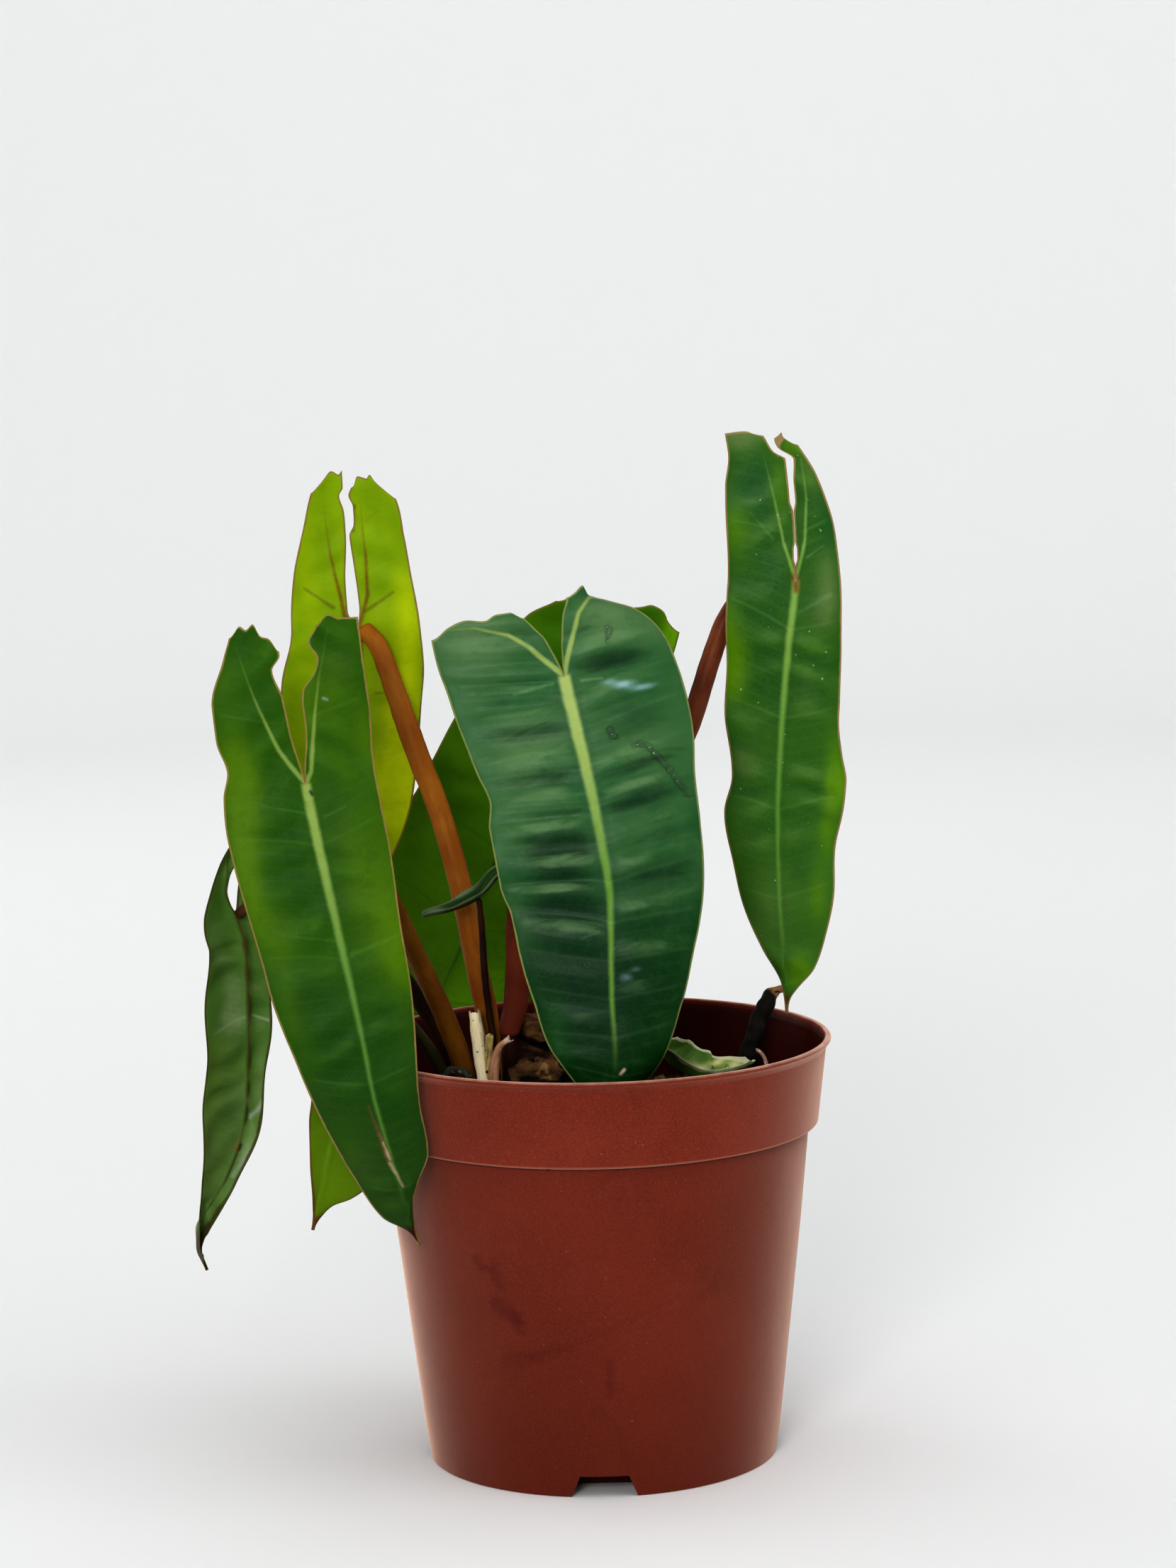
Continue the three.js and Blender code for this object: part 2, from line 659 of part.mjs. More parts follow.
    fold: [-0.04, -0.04],
    bend: [2, 1],
    pleat: [0.3, 12, 0.3],
    wave: [0.5, 32, 8],
    rib: [1, 1],
    lobeRows: 4,
    rows: 14,
    cells: 4,
    colour: 0x2c5608,
  },
  // a small narrow leaf seen edge on above the crown
  leaf_small: {
    axis: [
      [-18.5, -12, 156], [-23.5, -13, 152.5], [-28.6, -14, 147.8], [-35, -15.5, 145],
      [-42.8, -17, 143.5],
    ],
    join: 2,
    face: [-0.3, -0.15, 0.94],
    left: [[-12, 2.5], [-6, 4], [0, 4.2], [7, 3.2], [12, 1.8], [15.5, TIP]],
    right: [[-12, 2.5], [-6, 4], [0, 4.2], [7, 3.2], [12, 1.8], [15.5, TIP]],
    slitL: [[-10, 0.8], [-5, 0.5], [0, 0]],
    slitR: [[-10, 0.8], [-5, 0.5], [0, 0]],
    topL: [[0, 9], [0.5, 11], [1, 9]],
    topR: [[0, 9], [0.5, 11], [1, 9]],
    fold: [0.35, 0.35],
    bend: [0.5, 0.5],
    pleat: [0, 10, 0],
    wave: [0.3, 12, 0],
    rib: [0.4, -1],
    lobeRows: 2,
    rows: 6,
    cells: 3,
    colour: 0x24381c,
  },
  // a curled leaf lying in the pot's mouth on the right
  leaf_curled: {
    axis: [
      [16.5, 10, 107.5], [19.5, 9, 104.5], [24.5, 7.5, 100], [31, 7, 97.5], [37.5, 8.5, 97],
      [42, 11, 98.5],
    ],
    join: 1,
    face: [0.1, -0.55, 0.83],
    left: [[-4, 2], [0, 3], [6, 4.5], [12, 5], [18, 4.5], [22, 3], [26, TIP]],
    right: [[-4, 2], [0, 3], [6, 4.5], [12, 5], [18, 4.5], [22, 3], [26, TIP]],
    slitL: [[-4, 0.6], [0, 0]],
    slitR: [[-4, 0.6], [0, 0]],
    topL: [[0, 3], [0.5, 4], [1, 3]],
    topR: [[0, 3], [0.5, 4], [1, 3]],
    fold: [0.3, 0.3],
    bend: [2.2, 2.2],
    pleat: [0, 10, 0],
    wave: [0.2, 12, 2],
    rib: [0.3, -1],
    lobeRows: 1,
    rows: 8,
    cells: 4,
    colour: 0x5f8f55,
  },
};

// where each petiole runs from the soil to its leaf, and how thick it is

const petioles = {
  petiole_front_left: {
    points: [
      [-33.5, -2, 90], [-34, -2, 101], [-38, -4, 114.5], [-44.5, -8.5, 131],
      [-52, -18, 151], [-61, -29, 167.5], [-69, -41, 180],
    ],
    radii: [2.9, 2.7, 2.5, 2.3, 2],
    leaf: "leaf_front_left",
    colour: 0x6b3a1e,
  },
  petiole_back_left: {
    points: [
      [-27, 1, 90], [-27.3, 1, 112], [-29.8, 0, 127], [-33.2, 0, 147], [-38.5, 2, 168],
      [-44, 3, 183.5], [-50, 5.5, 198.5], [-54.3, 9.5, 209.5], [-57.6, 13.5, 214.5],
    ],
    radii: [3, 2.9, 2.9, 2.9, 2.4],
    leaf: "leaf_back_left",
    colour: 0x9a4c20,
  },
  petiole_far_left: {
    points: [
      [-34.5, 4.5, 90], [-36.5, 4.5, 102], [-43, 4, 115], [-53, 4, 129], [-67, 2, 142.5],
      [-80, -2, 147.5], [-88, -3.5, 145], [-91, -1, 142.5],
    ],
    radii: [2.4, 2.3, 2.2, 2, 1.4],
    leaf: "leaf_far_left",
    colour: 0x4a2a18,
  },
  petiole_low_left: {
    points: [
      [-38.5, 1, 88], [-39.5, 0.5, 99.5], [-45, -5, 111], [-52.5, -15, 121], [-59.2, -22.5, 125.5],
    ],
    radii: [1.6, 1.5, 1.5, 1.3],
    leaf: "leaf_low_left",
    colour: 0x5b5a2a,
  },
  petiole_centre_front: {
    points: [
      [-21.5, -2.5, 90], [-21, -3, 100], [-20, -5.5, 112], [-19.5, -12, 140],
      [-15.5, -22, 172], [-9.5, -30.5, 196], [-5.7, -34.5, 205],
    ],
    radii: [3.1, 2.6, 2.5, 2.3, 2],
    leaf: "leaf_centre_front",
    colour: 0x6e2f22,
  },
  petiole_right: {
    points: [
      [-17, 6, 90], [-13.5, 7, 112], [-3, 9.5, 138], [10, 12, 160], [20, 13.5, 174.5],
      [26.5, 15.5, 187], [33, 18, 205.5], [37.5, 18.8, 216], [44, 17.8, 222.5],
      [50, 14.8, 225], [54.2, 11, 224.6],
    ],
    radii: [2.8, 2.7, 2.7, 2.6, 2.1],
    leaf: "leaf_right",
    colour: 0x5c2a1c,
  },
  petiole_centre_back: {
    points: [
      [-24, 9, 90], [-20, 11, 118], [-12.5, 19, 160], [-5.5, 32, 193], [-2.2, 39.2, 204.7],
    ],
    radii: [2.4, 2.3, 2.2, 1.9],
    leaf: "leaf_centre_back",
    colour: 0x6b3a1e,
  },
  petiole_small: {
    points: [
      [-24.8, -5.2, 90], [-25.5, -6.5, 104], [-27.5, -8, 124], [-28.1, -12, 141],
      [-28.5, -14, 147.5],
    ],
    radii: [1, 0.9, 0.9, 0.8],
    leaf: "leaf_small",
    colour: 0x3a1d14,
  },
  petiole_curled: {
    points: [[8, 7, 84], [11, 8, 96], [16, 9, 102.5], [19.3, 9, 104.3]],
    radii: [1.3, 1.2, 1],
    leaf: "leaf_curled",
    colour: 0x4c3a22,
  },
};

// a cut petiole, dry sheaths at the crown, and roots

const dry = {
  petiole_cut_stub: {
    make: (grow) => rod(
      [[42.5, 21, 84], [43.5, 23, 95], [44.3, 25, 104], [45.6, 27, 110.5], [48, 28, 113.8],
        [50.8, 28, 115]],
      [2.6, 2.5, 2.3, 1.9, 1.1], 8, grow,
    ),
    colour: 0x2c1a12,
  },
  sheath_cream_tall: {
    make: (grow) => rod(
      [[-29.9, -8.2, 88], [-29.8, -8.2, 102], [-30.2, -8.2, 110], [-31.2, -8.2, 117.5]],
      [2.2, 2.1, 2.2, 2], 8, grow, 0.7,
    ),
    colour: 0xcfc39c,
  },
  sheath_cream_short: {
    make: (grow) => rod(
      [[-27.2, -9.9, 90], [-27.1, -9.7, 104], [-26.8, -9.5, 111]],
      [1.2, 1.3, 1], 8, grow,
    ),
    colour: 0xb8a87c,
  },
  sheath_pink: {
    make: (grow) => rod(
      [[-25.4, -12.4, 90], [-25.3, -12.4, 101], [-24, -12.3, 106.5], [-22.3, -12.3, 109.8],
        [-20, -12, 111.5]],
      [1, 0.9, 0.9, 0.8], 8, grow, 0.7,
    ),
    colour: 0xa8786a,
  },
  root_front: {
    make: (grow) => rod(
      [[-31.8, -12.5, 88], [-32, -12.5, 102], [-33.4, -12.5, 105], [-35.3, -12.5, 105.8],
        [-37.3, -12.5, 104.8], [-39.5, -12.5, 100], [-40.5, -12.5, 86]],
      [0.9, 0.8, 0.8, 0.9], 6, grow,
    ),
    colour: 0x4a3a2a,
  },
  root_right: {
    make: (grow) => rod(
      [[44.2, -8, 84], [44, -8, 101], [43, -8, 104.2], [41.2, -8, 106]],
      [0.6, 0.6, 0.5], 6, grow,
    ),
    colour: 0xb08878,
  },
};

// the potting soil: it fills the pot and rises in a low mound at the crown
const soilTop = (x, y) => SOIL_LEVEL
  + MOUND_HIGH * Math.exp(-((x - CROWN_AT[0]) ** 2 + (y - CROWN_AT[1]) ** 2) / MOUND_SPREAD)
  + 0.9 * Math.sin(0.31 * x + 1.2) * Math.cos(0.27 * y)
  + 0.5 * Math.sin(0.72 * x - 0.53 * y);

// bark chips bedded in the surface: place, half sizes and a shape number
const CHIPS = [
  [-44, -22, 5, 3, 1.6, 1],
  [-6, 30, 6, 3.5, 1.6, 2],
  [22, 24, 5, 4, 1.8, 3],
  [34, -14, 6, 3, 1.6, 4],
  [-34, 28, 5, 3, 1.6, 5],
  [12, -30, 5, 3.5, 1.6, 6],
  [48, 8, 4, 3, 1.8, 7],
];

function makeSoil() {
  // a little more than the gap, as the flat facets cut inside the round
  const clear = 1.5 * GAP;
  const side = POT_WALL + clear;
  const edge = SOIL_LEVEL + 0.4;
  const rings = [SOIL_RADIUS, 47, 38, 29, 20, 10, 0].map((r) => [r, edge]);
  const geometry = turned([
    [0, POT_FLOOR + GAP],
    [BASE_RADIUS - side, POT_FLOOR + GAP],
    [FOOT_RADIUS - side, FOOT_HIGH],
    [MIDDLE_RADIUS - side, MIDDLE_HIGH],
    [LEDGE_RADIUS - clear, LEDGE_HIGH + 2 * GAP],
    ...rings,
  ], SOIL_FACETS);
  const at = geometry.attributes.position;
  for (let i = 0; i < at.count; i += 1) {
    if (Math.abs(at.getZ(i) - edge) < 1e-3) {
      const x = at.getX(i);
      const y = at.getY(i);
      // level at the wall, and the full surface 8 mm in from it
      const inward = Math.min(1, (SOIL_RADIUS - Math.hypot(x, y)) / 8);
      at.setZ(i, edge + inward * (soilTop(x, y) - SOIL_LEVEL));
    }
  }
  let body = toSolid(geometry);
  for (const turn of NOTCH_TURNS) {
    body = body.subtract(channelShell(GAP).rotate([0, 0, turn]));
  }
  for (const [x, y, a, b, c, seed] of CHIPS) {
    body = body.add(lump([x, y, soilTop(x, y) + 0.6], [a, b, c], seed, 0, 1));
  }
  return body;
}

// the short woody stem, standing in a hollow of the soil
function makeCrown(grow) {
  const stem = lump([-13.5, -1, 100], [5.5, 5, 12.5], 1.3, grow);
  const front = lump([-16, -7, 97], [5.5, 3.5, 8], 2.2, grow);
  const low = lump([-8, 1.5, 95], [5, 4.5, 9], 0.4, grow);
  return stem.add(front).add(low);
}

const plant = new THREE.Group();

function addPiece(name, body, colour, roughness) {
  const material = new THREE.MeshStandardMaterial({ color: colour, roughness, metalness: 0 });
  const mesh = new THREE.Mesh(toGeometry(body), material);
  mesh.name = name;
  plant.add(mesh);
}

// every standing piece leaves a plain hole in the soil and the crown
let soil = makeSoil().subtract(makeCrown(GAP));
let crown = makeCrown(0);

for (const [name, d] of Object.entries(petioles)) {
  const swollen = rod(d.points, d.radii, 8, GAP);
  soil = soil.subtract(swollen);
  crown = crown.subtract(swollen);
  // the head stops just short of the blade that it carries
  let body = rod(d.points, d.radii, 8);
  for (const [x, z] of [[GAP, 0], [-GAP, 0], [0, GAP], [0, -GAP]]) {
    body = body.subtract(blade(leaves[d.leaf], GAP).translate([x, 0, z]));
  }
  addPiece(name, largest(body), d.colour, 0.45);
}
for (const [name, d] of Object.entries(dry)) {
  soil = soil.subtract(d.make(GAP));
  crown = crown.subtract(d.make(GAP));
  addPiece(name, d.make(0), d.colour, 0.8);
}
for (const [name, d] of Object.entries(leaves)) {
  addPiece(name, blade(d), d.colour, 0.4);
}
addPiece("pot", makePot(), TERRACOTTA, 0.5);
addPiece("potting_soil", largest(soil), SOIL, 0.95);
addPiece("crown_wood", largest(crown), WOOD, 0.9);

export default plant;
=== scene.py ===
"""A potted billietiae philodendron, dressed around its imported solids.

Shapes are worked out in millimetres, in the frame of the solids, and scaled to
metres when a mesh is made: Z is up, -Y is toward the viewer and the pot's axis
is the Z axis.
"""
import math

import bmesh
import bpy
import numpy as np
from mathutils import Matrix, Vector


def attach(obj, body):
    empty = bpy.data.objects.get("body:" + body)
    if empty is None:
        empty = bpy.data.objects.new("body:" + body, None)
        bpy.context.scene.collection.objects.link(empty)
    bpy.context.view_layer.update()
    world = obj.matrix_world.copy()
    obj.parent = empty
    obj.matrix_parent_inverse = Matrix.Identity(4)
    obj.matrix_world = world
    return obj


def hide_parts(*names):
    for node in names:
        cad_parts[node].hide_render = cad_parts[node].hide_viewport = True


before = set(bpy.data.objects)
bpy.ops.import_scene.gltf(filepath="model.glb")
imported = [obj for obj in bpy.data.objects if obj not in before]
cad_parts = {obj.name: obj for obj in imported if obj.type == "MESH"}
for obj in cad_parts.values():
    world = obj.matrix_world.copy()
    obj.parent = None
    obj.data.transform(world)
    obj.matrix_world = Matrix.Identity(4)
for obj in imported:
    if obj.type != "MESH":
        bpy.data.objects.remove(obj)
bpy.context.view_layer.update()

MM = 0.001
TAU = 2 * math.pi

# the pot, as its solid has it
POT_HIGH = 108.4
RIM_RADIUS = 61.0
BASE_RADIUS = 45.3
POT_WALL = 1.1
POT_FLOOR = 1.4
NOTCH_TURNS = (0, 90, 180, 270)
NOTCH_FOOT = 17.0
NOTCH_TOP = 12.3
NOTCH_HIGH = 5.5
CHANNEL_DEEP = 13.0
CHANNEL_WALL = 1.2
DRAIN_SIDE = 3.5
DRAIN_IN = 3.5
COLLAR_FOOT = 86.4
# the collar wall's middle radius at its foot, and how it grows with height
COLLAR_MIDDLE = 56.75
COLLAR_SLOPE = 0.12
CORNER_RADIUS = 0.3
# the skin of the inner faces begins at this height
INNER_SKIN_FROM = 60.0
# smudges on the wall: mm round it and height at both ends, half width and strength
POT_MARK_RADIUS = 50.0
POT_MARKS = [
    (-31, 60.5, -28, 58.5, 1.1, 0.6), (-26.5, 60, -25.2, 55, 1.5, 0.5),
    (-26.5, 50, -21.5, 46.5, 2.0, 0.6), (-21.4, 46, -20.4, 44, 1.3, 0.5),
    (-25, 36, -8.7, 39.5, 0.9, 0.4), (-23, 34.5, -16, 36.5, 1.2, 0.3),
    (1.9, 36, 1.8, 27.7, 0.8, 0.45), (-33, 30, 20, 52, 0.6, 0.12)]
# the soil's surface and its mound at the crown
SOIL_LEVEL = 87.0
SOIL_RADIUS = 55.9
MOUND_HIGH = 7.5
MOUND_SPREAD = 420.0
CROWN_AT = (-24.0, -1.0)
# half width of a blade at its very tip, and how far before it the waves die out
TIP = 0.4
CALM_END = 15.0
# half thickness of a blade, and the share and reach of its thinning at the margin
HALF_THICK = 0.27
MARGIN_THIN = 0.8
MARGIN_REACH = 0.5
# how closely the columns of a blade crowd at the midrib and at the margin
CROWDING = 0.045
# share of the blade along which its midrib stands, and mm along a lobe for its rib
MIDRIB_SHARE = 0.85
LOBE_RIB_LONG = 34.0
# how far beside a crest the painted light on the folds lies, as a share of the way
# to the next one
LIGHT_SHIFT = 0.17
# the soil's grid, and its loose chips
SOIL_SIDES = 240
SOIL_RINGS = 90
CHIP_COUNT = 520
CHIP_SEED = 11
# an end of a rod is rounded off over this many radii, and its low ridges round it
END_ROUND = 0.6
RIDGES = 5
HUSK_THICK = 0.3


# Curves

def cubic(t, step, a, b, slope_a, slope_b):
    """The cubic that goes from a to b over one step, with the slopes given at its
    ends, at the share t of the step."""
    t2, t3 = t * t, t * t * t
    return ((2 * t3 - 3 * t2 + 1) * a + (t3 - 2 * t2 + t) * step * slope_a
            + (3 * t2 - 2 * t3) * b + (t3 - t2) * step * slope_b)


def through(pairs):
    """A smooth curve of one value through [position, value] pairs: a cubic between
    each two, level at both ends and at every high or low point."""
    at, value = np.array(pairs, float).T
    slope = np.zeros(len(at))
    rise = np.diff(value)
    mean = (value[2:] - value[:-2]) / (at[2:] - at[:-2])
    slope[1:-1] = np.where(rise[:-1] * rise[1:] > 0, mean, 0)

    def curve(u):
        u = np.clip(np.asarray(u, float), at[0], at[-1])
        k = np.clip(np.searchsorted(at, u, side="right") - 1, 0, len(at) - 2)
        step = at[k + 1] - at[k]
        return cubic((u - at[k]) / step, step, value[k], value[k + 1], slope[k], slope[k + 1])
    return curve


class Line:
    """A smooth line in space through points, measured in mm from one of them: a
    cubic between each two points, whose tangent is the chord of its neighbours."""

    def __init__(self, points, zero_at=0):
        self.points = np.array(points, float)
        steps = np.linalg.norm(np.diff(self.points, axis=0), axis=1)
        self.knots = np.concatenate([[0], np.cumsum(steps)])
        self.knots -= self.knots[zero_at]
        before = np.maximum(np.arange(len(points)) - 1, 0)
        after = np.minimum(np.arange(len(points)) + 1, len(points) - 1)
        self.tangents = (self.points[after] - self.points[before]) \
            / (self.knots[after] - self.knots[before])[:, None]
        self.start, self.end = self.knots[0], self.knots[-1]

    def place(self, u):
        """Points of the line at u, straight on past its ends."""
        u = np.asarray(u, float)
        inside = np.clip(u, self.start, self.end)
        k = np.clip(np.searchsorted(self.knots, inside, side="right") - 1, 0, len(self.knots) - 2)
        step = (self.knots[k + 1] - self.knots[k])[..., None]
        t = (inside - self.knots[k])[..., None] / step
        spot = cubic(t, step, self.points[k], self.points[k + 1], self.tangents[k],
                     self.tangents[k + 1])
        tangent = np.where((u < self.start)[..., None], self.tangents[0], self.tangents[-1])
        return spot + (u - inside)[..., None] * tangent

    def along(self, u, reach=0.3):
        """Unit direction of the line at u, taken over reach to each side."""
        return unit(self.place(u + reach) - self.place(u - reach))


def unit(v):
    """Each vector divided by its length."""
    return v / np.maximum(np.linalg.norm(v, axis=-1, keepdims=True), 1e-9)


def ease(x, low, high):
    """Rises smoothly from 0 at low to 1 at high."""
    t = np.clip((x - low) / (high - low), 0, 1)
    return t * t * (3 - 2 * t)


def round_off(run, length, reach, least):
    """1 along a run, falling as a quarter circle to nearly 0 over reach at both ends."""
    cap = np.minimum(run, length - run) / reach
    return np.sqrt(np.clip(1 - (1 - np.clip(cap, 0, 1)) ** 2, least, 1))


def ripple(points, size, seed, waves=14):
    """A random smooth roughness between about -1 and 1: a sum of sines whose
    directions and phases are drawn from the seed, around one wavelength in mm."""
    rng = np.random.default_rng(seed)
    points = np.asarray(points, float)
    aim = unit(rng.normal(size=(waves, points.shape[-1])))
    pace = TAU / (size * rng.uniform(0.6, 1.6, waves))
    phase = rng.uniform(0, TAU, waves)
    return np.sin(points @ (aim * pace[:, None]).T + phase).sum(-1) / math.sqrt(waves)


def polyline_distance(u, s, points):
    """Signed distance in mm from (u, s) to a line through points in the blade's own
    plane, positive on the outer side, and how far along the line the nearest spot is."""
    points = np.array(points, float)
    best = np.full(u.shape, 1e9)
    signed = np.zeros(u.shape)
    run = np.zeros(u.shape)
    before = 0.0
    for a, b in zip(points[:-1], points[1:]):
        along = b - a
        length = float(np.hypot(*along))
        t = ((u - a[0]) * along[0] + (s - a[1]) * along[1]) / length ** 2
        t_in = np.clip(t, 0, 1)
        du, ds = u - a[0] - t_in * along[0], s - a[1] - t_in * along[1]
        distance = np.hypot(du, ds)
        nearer = distance < best
        side = np.sign((u - a[0]) * along[1] - (s - a[1]) * along[0])
        best = np.where(nearer, distance, best)
        signed = np.where(nearer, side * distance, signed)
        run = np.where(nearer, before + t_in * length, run)
        before += length
    return signed, run


# Meshes

def make_object(name, points, faces, attributes=None, smooth=True):
    """A mesh object from points in mm, faces and named point attributes."""
    mesh = bpy.data.meshes.new(name)
    mesh.from_pydata((np.asarray(points) * MM).tolist(), [], [list(map(int, f)) for f in faces])
    for key, values in (attributes or {}).items():
        layer = mesh.attributes.new(key, "FLOAT_VECTOR", "POINT")
        layer.data.foreach_set("vector", np.asarray(values, np.float32).ravel())
    if smooth:
        mesh.polygons.foreach_set("use_smooth", [True] * len(mesh.polygons))
    mesh.update()
    piece = bpy.data.objects.new(name, mesh)
    bpy.context.scene.collection.objects.link(piece)
    return piece


def make_piece(name, points, faces, attributes=None, smooth=True):
    """A mesh object with its seams and poles closed and its faces outward."""
    piece = make_object(name, points, faces, attributes, smooth)
    tidy_mesh(piece)
    return piece


def tidy_mesh(piece, turn=True):
    """Merges doubled points, drops loose ones and turns the faces outward."""
    work = bmesh.new()
    work.from_mesh(piece.data)
    bmesh.ops.remove_doubles(work, verts=work.verts, dist=1e-6)
    loose = [v for v in work.verts if not v.link_faces]
    bmesh.ops.delete(work, geom=loose, context="VERTS")
    if turn:
        bmesh.ops.recalc_face_normals(work, faces=work.faces)
    work.to_mesh(piece.data)
    work.free()
    piece.data.update()


def grid_faces(index, closed=False):
    """Quads over a grid of vertex numbers; closed joins its last column to its first."""
    if closed:
        index = np.hstack([index, index[:, :1]])
    corners = [index[:-1, :-1], index[:-1, 1:], index[1:, 1:], index[1:, :-1]]
    return np.stack(corners, -1).reshape(-1, 4)


def ring_grid(points):
    """Points in a row, and faces, of a grid of points whose columns go all round."""
    index = np.arange(points.size // 3).reshape(points.shape[:2])
    return points.reshape(-1, 3), grid_faces(index, closed=True)


def merge_attributes(parts):
    """Joins (points, faces, attributes) parts into one set."""
    points, faces, attributes, base = [], [], {}, 0
    for p, f, a in parts:
        points.append(np.asarray(p, float))
        faces.extend((np.asarray(row) + base).tolist() for row in f)
        for key, values in a.items():
            attributes.setdefault(key, []).append(np.asarray(values, float))
        base += len(p)
    return np.concatenate(points), faces, {k: np.concatenate(v) for k, v in attributes.items()}


def settle(piece, node, slot, *materials):
    """Gives the piece its materials, rides it on the one body, and lets it stand for
    its node. The slot is not used."""
    for material in materials:
        piece.data.materials.append(material)
    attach(piece, "root")
    if node:
        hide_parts(node)


# Shader nodes

def colour(code):
    """Linear colour of a hexadecimal screen colour."""
    screen = [int(code[i:i + 2], 16) / 255 for i in (0, 2, 4)]
    linear = [c / 12.92 if c <= 0.04045 else ((c + 0.055) / 1.055) ** 2.4 for c in screen]
    return (*linear, 1.0)


class Value:
    """An output of a shader node. Sums of it are written with plain signs, each of
    which adds a maths node."""

    def __init__(self, shader, socket):
        self.shader, self.socket = shader, socket

    def __add__(self, other):
        return self.shader.maths("ADD", self, other)

    def __sub__(self, other):
        return self.shader.maths("SUBTRACT", self, other)

    def __mul__(self, other):
        return self.shader.maths("MULTIPLY", self, other)

    def __abs__(self):
        return self.shader.maths("ABSOLUTE", self)


class Shader:
    """Builds one material: most methods add a node and give back its value. base is
    the colour so far, which start() begins and lay() paints on."""

    def __init__(self, name):
        self.material = bpy.data.materials.new(name)
        self.material.use_nodes = True
        self.tree = self.material.node_tree
        self.tree.nodes.clear()
        self.output = self.tree.nodes.new("ShaderNodeOutputMaterial")
        self.surface = self.tree.nodes.new("ShaderNodeBsdfPrincipled")
        self.tree.links.new(self.surface.outputs[0], self.output.inputs["Surface"])
        self.base = None

    def start(self, share, first, second):
        """Begins the base colour as a mix of two colour codes."""
        self.base = self.mix(share, colour(first), colour(second))

    def lay(self, share, tone):
        """Paints a share of a colour code, or of another mix, over the base."""
        self.base = self.mix(share, self.base, colour(tone) if isinstance(tone, str) else tone)

    def plug(self, socket, value):
        """Links another node's value to the socket, or sets the socket to a number."""
        if isinstance(value, Value):
            self.tree.links.new(value.socket, socket)
        else:
            socket.default_value = value

    def maths(self, kind, a, b=0.0, clamp=False):
        """A maths node of one or two values; clamp keeps it within 0 and 1."""
        node = self.tree.nodes.new("ShaderNodeMath")
        node.operation = kind
        node.use_clamp = clamp
        self.plug(node.inputs[0], a)
        self.plug(node.inputs[1], b)
        return Value(self, node.outputs[0])

    def most(self, a, b):
        """The greater of two values."""
        return self.maths("MAXIMUM", a, b)

    def ease(self, x, low, high, start=0.0, end=1.0):
        """Goes smoothly from start at low to end at high."""
        node = self.tree.nodes.new("ShaderNodeMapRange")
        node.interpolation_type = "SMOOTHSTEP"
        for socket, value in zip(node.inputs, (x, low, high, start, end)):
            self.plug(socket, value)
        return Value(self, node.outputs[0])

    def attribute(self, key):
        """The piece's own point attribute of that name."""
        node = self.tree.nodes.new("ShaderNodeAttribute")
        node.attribute_name = key
        return Value(self, node.outputs["Vector"])

    def parts(self, vector):
        """The x, y and z of a vector."""
        node = self.tree.nodes.new("ShaderNodeSeparateXYZ")
        self.plug(node.inputs[0], vector)
        return [Value(self, output) for output in node.outputs]

    def vector(self, x, y):
        """The place (x, y, 0)."""
        node = self.tree.nodes.new("ShaderNodeCombineXYZ")
        self.plug(node.inputs[0], x)
        self.plug(node.inputs[1], y)
        return Value(self, node.outputs[0])

    def place(self):
        """The piece's own coordinates, in millimetres."""
        node = self.tree.nodes.new("ShaderNodeTexCoord")
        return self.stretch(Value(self, node.outputs["Object"]), (1 / MM, 1 / MM, 1 / MM))

    def stretch(self, vector, scale):
        """The vector multiplied by the scale, axis by axis."""
        node = self.tree.nodes.new("ShaderNodeMapping")
        self.plug(node.inputs["Vector"], vector)
        node.inputs["Scale"].default_value = scale
        return Value(self, node.outputs[0])

    def noise(self, vector, size, detail=2.0, rough=0.5, twist=0.0):
        """Noise of about 0 to 1 with features of the given size in mm."""
        node = self.tree.nodes.new("ShaderNodeTexNoise")
        self.plug(node.inputs["Vector"], vector)
        node.inputs["Scale"].default_value = 1 / size
        node.inputs["Detail"].default_value = detail
        node.inputs["Roughness"].default_value = rough
        node.inputs["Distortion"].default_value = twist
        return Value(self, node.outputs[0])

    def cells(self, vector, size):
        """Distance from the walls between cells of the given size in mm."""
        node = self.tree.nodes.new("ShaderNodeTexVoronoi")
        node.feature = "DISTANCE_TO_EDGE"
        self.plug(node.inputs["Vector"], vector)
        node.inputs["Scale"].default_value = 1 / size
        return Value(self, node.outputs["Distance"])

    def stroke(self, plane, a, b):
        """Distance in mm from a straight stroke in the plane from a to b, and how far
        along it the nearest point is, 0 to 1."""
        run = (b[0] - a[0], b[1] - a[1], 0.0)
        offset = self.pair("SUBTRACT", plane, (*a, 0.0))
        share = tuple(v / (run[0] ** 2 + run[1] ** 2) for v in run)
        t = self.maths("ADD", self.pair("DOT_PRODUCT", offset, share, "Value"), 0.0, clamp=True)
        nearest = self.pair("MULTIPLY", self.vector(t, t), run)
        return self.pair("DISTANCE", offset, nearest, "Value"), t

    def pair(self, kind, a, b, output="Vector"):
        """One sum, product or measure of two vectors."""
        node = self.tree.nodes.new("ShaderNodeVectorMath")
        node.operation = kind
        self.plug(node.inputs[0], a)
        self.plug(node.inputs[1], b)
        return Value(self, node.outputs[output])

    def mix(self, share, a, b):
        """Colour a at share 0 and colour b at share 1."""
        node = self.tree.nodes.new("ShaderNodeMix")
        node.data_type = "RGBA"
        self.plug(node.inputs[0], share)
        self.plug(node.inputs[6], a)
        self.plug(node.inputs[7], b)
        return Value(self, node.outputs[2])

    def bump(self, height, deep, strength):
        """Relief of the height given, deep millimetres from 0 to 1."""
        node = self.tree.nodes.new("ShaderNodeBump")
        node.inputs["Strength"].default_value = strength
        node.inputs["Distance"].default_value = deep * MM
        self.plug(node.inputs["Height"], height)
        return Value(self, node.outputs[0])

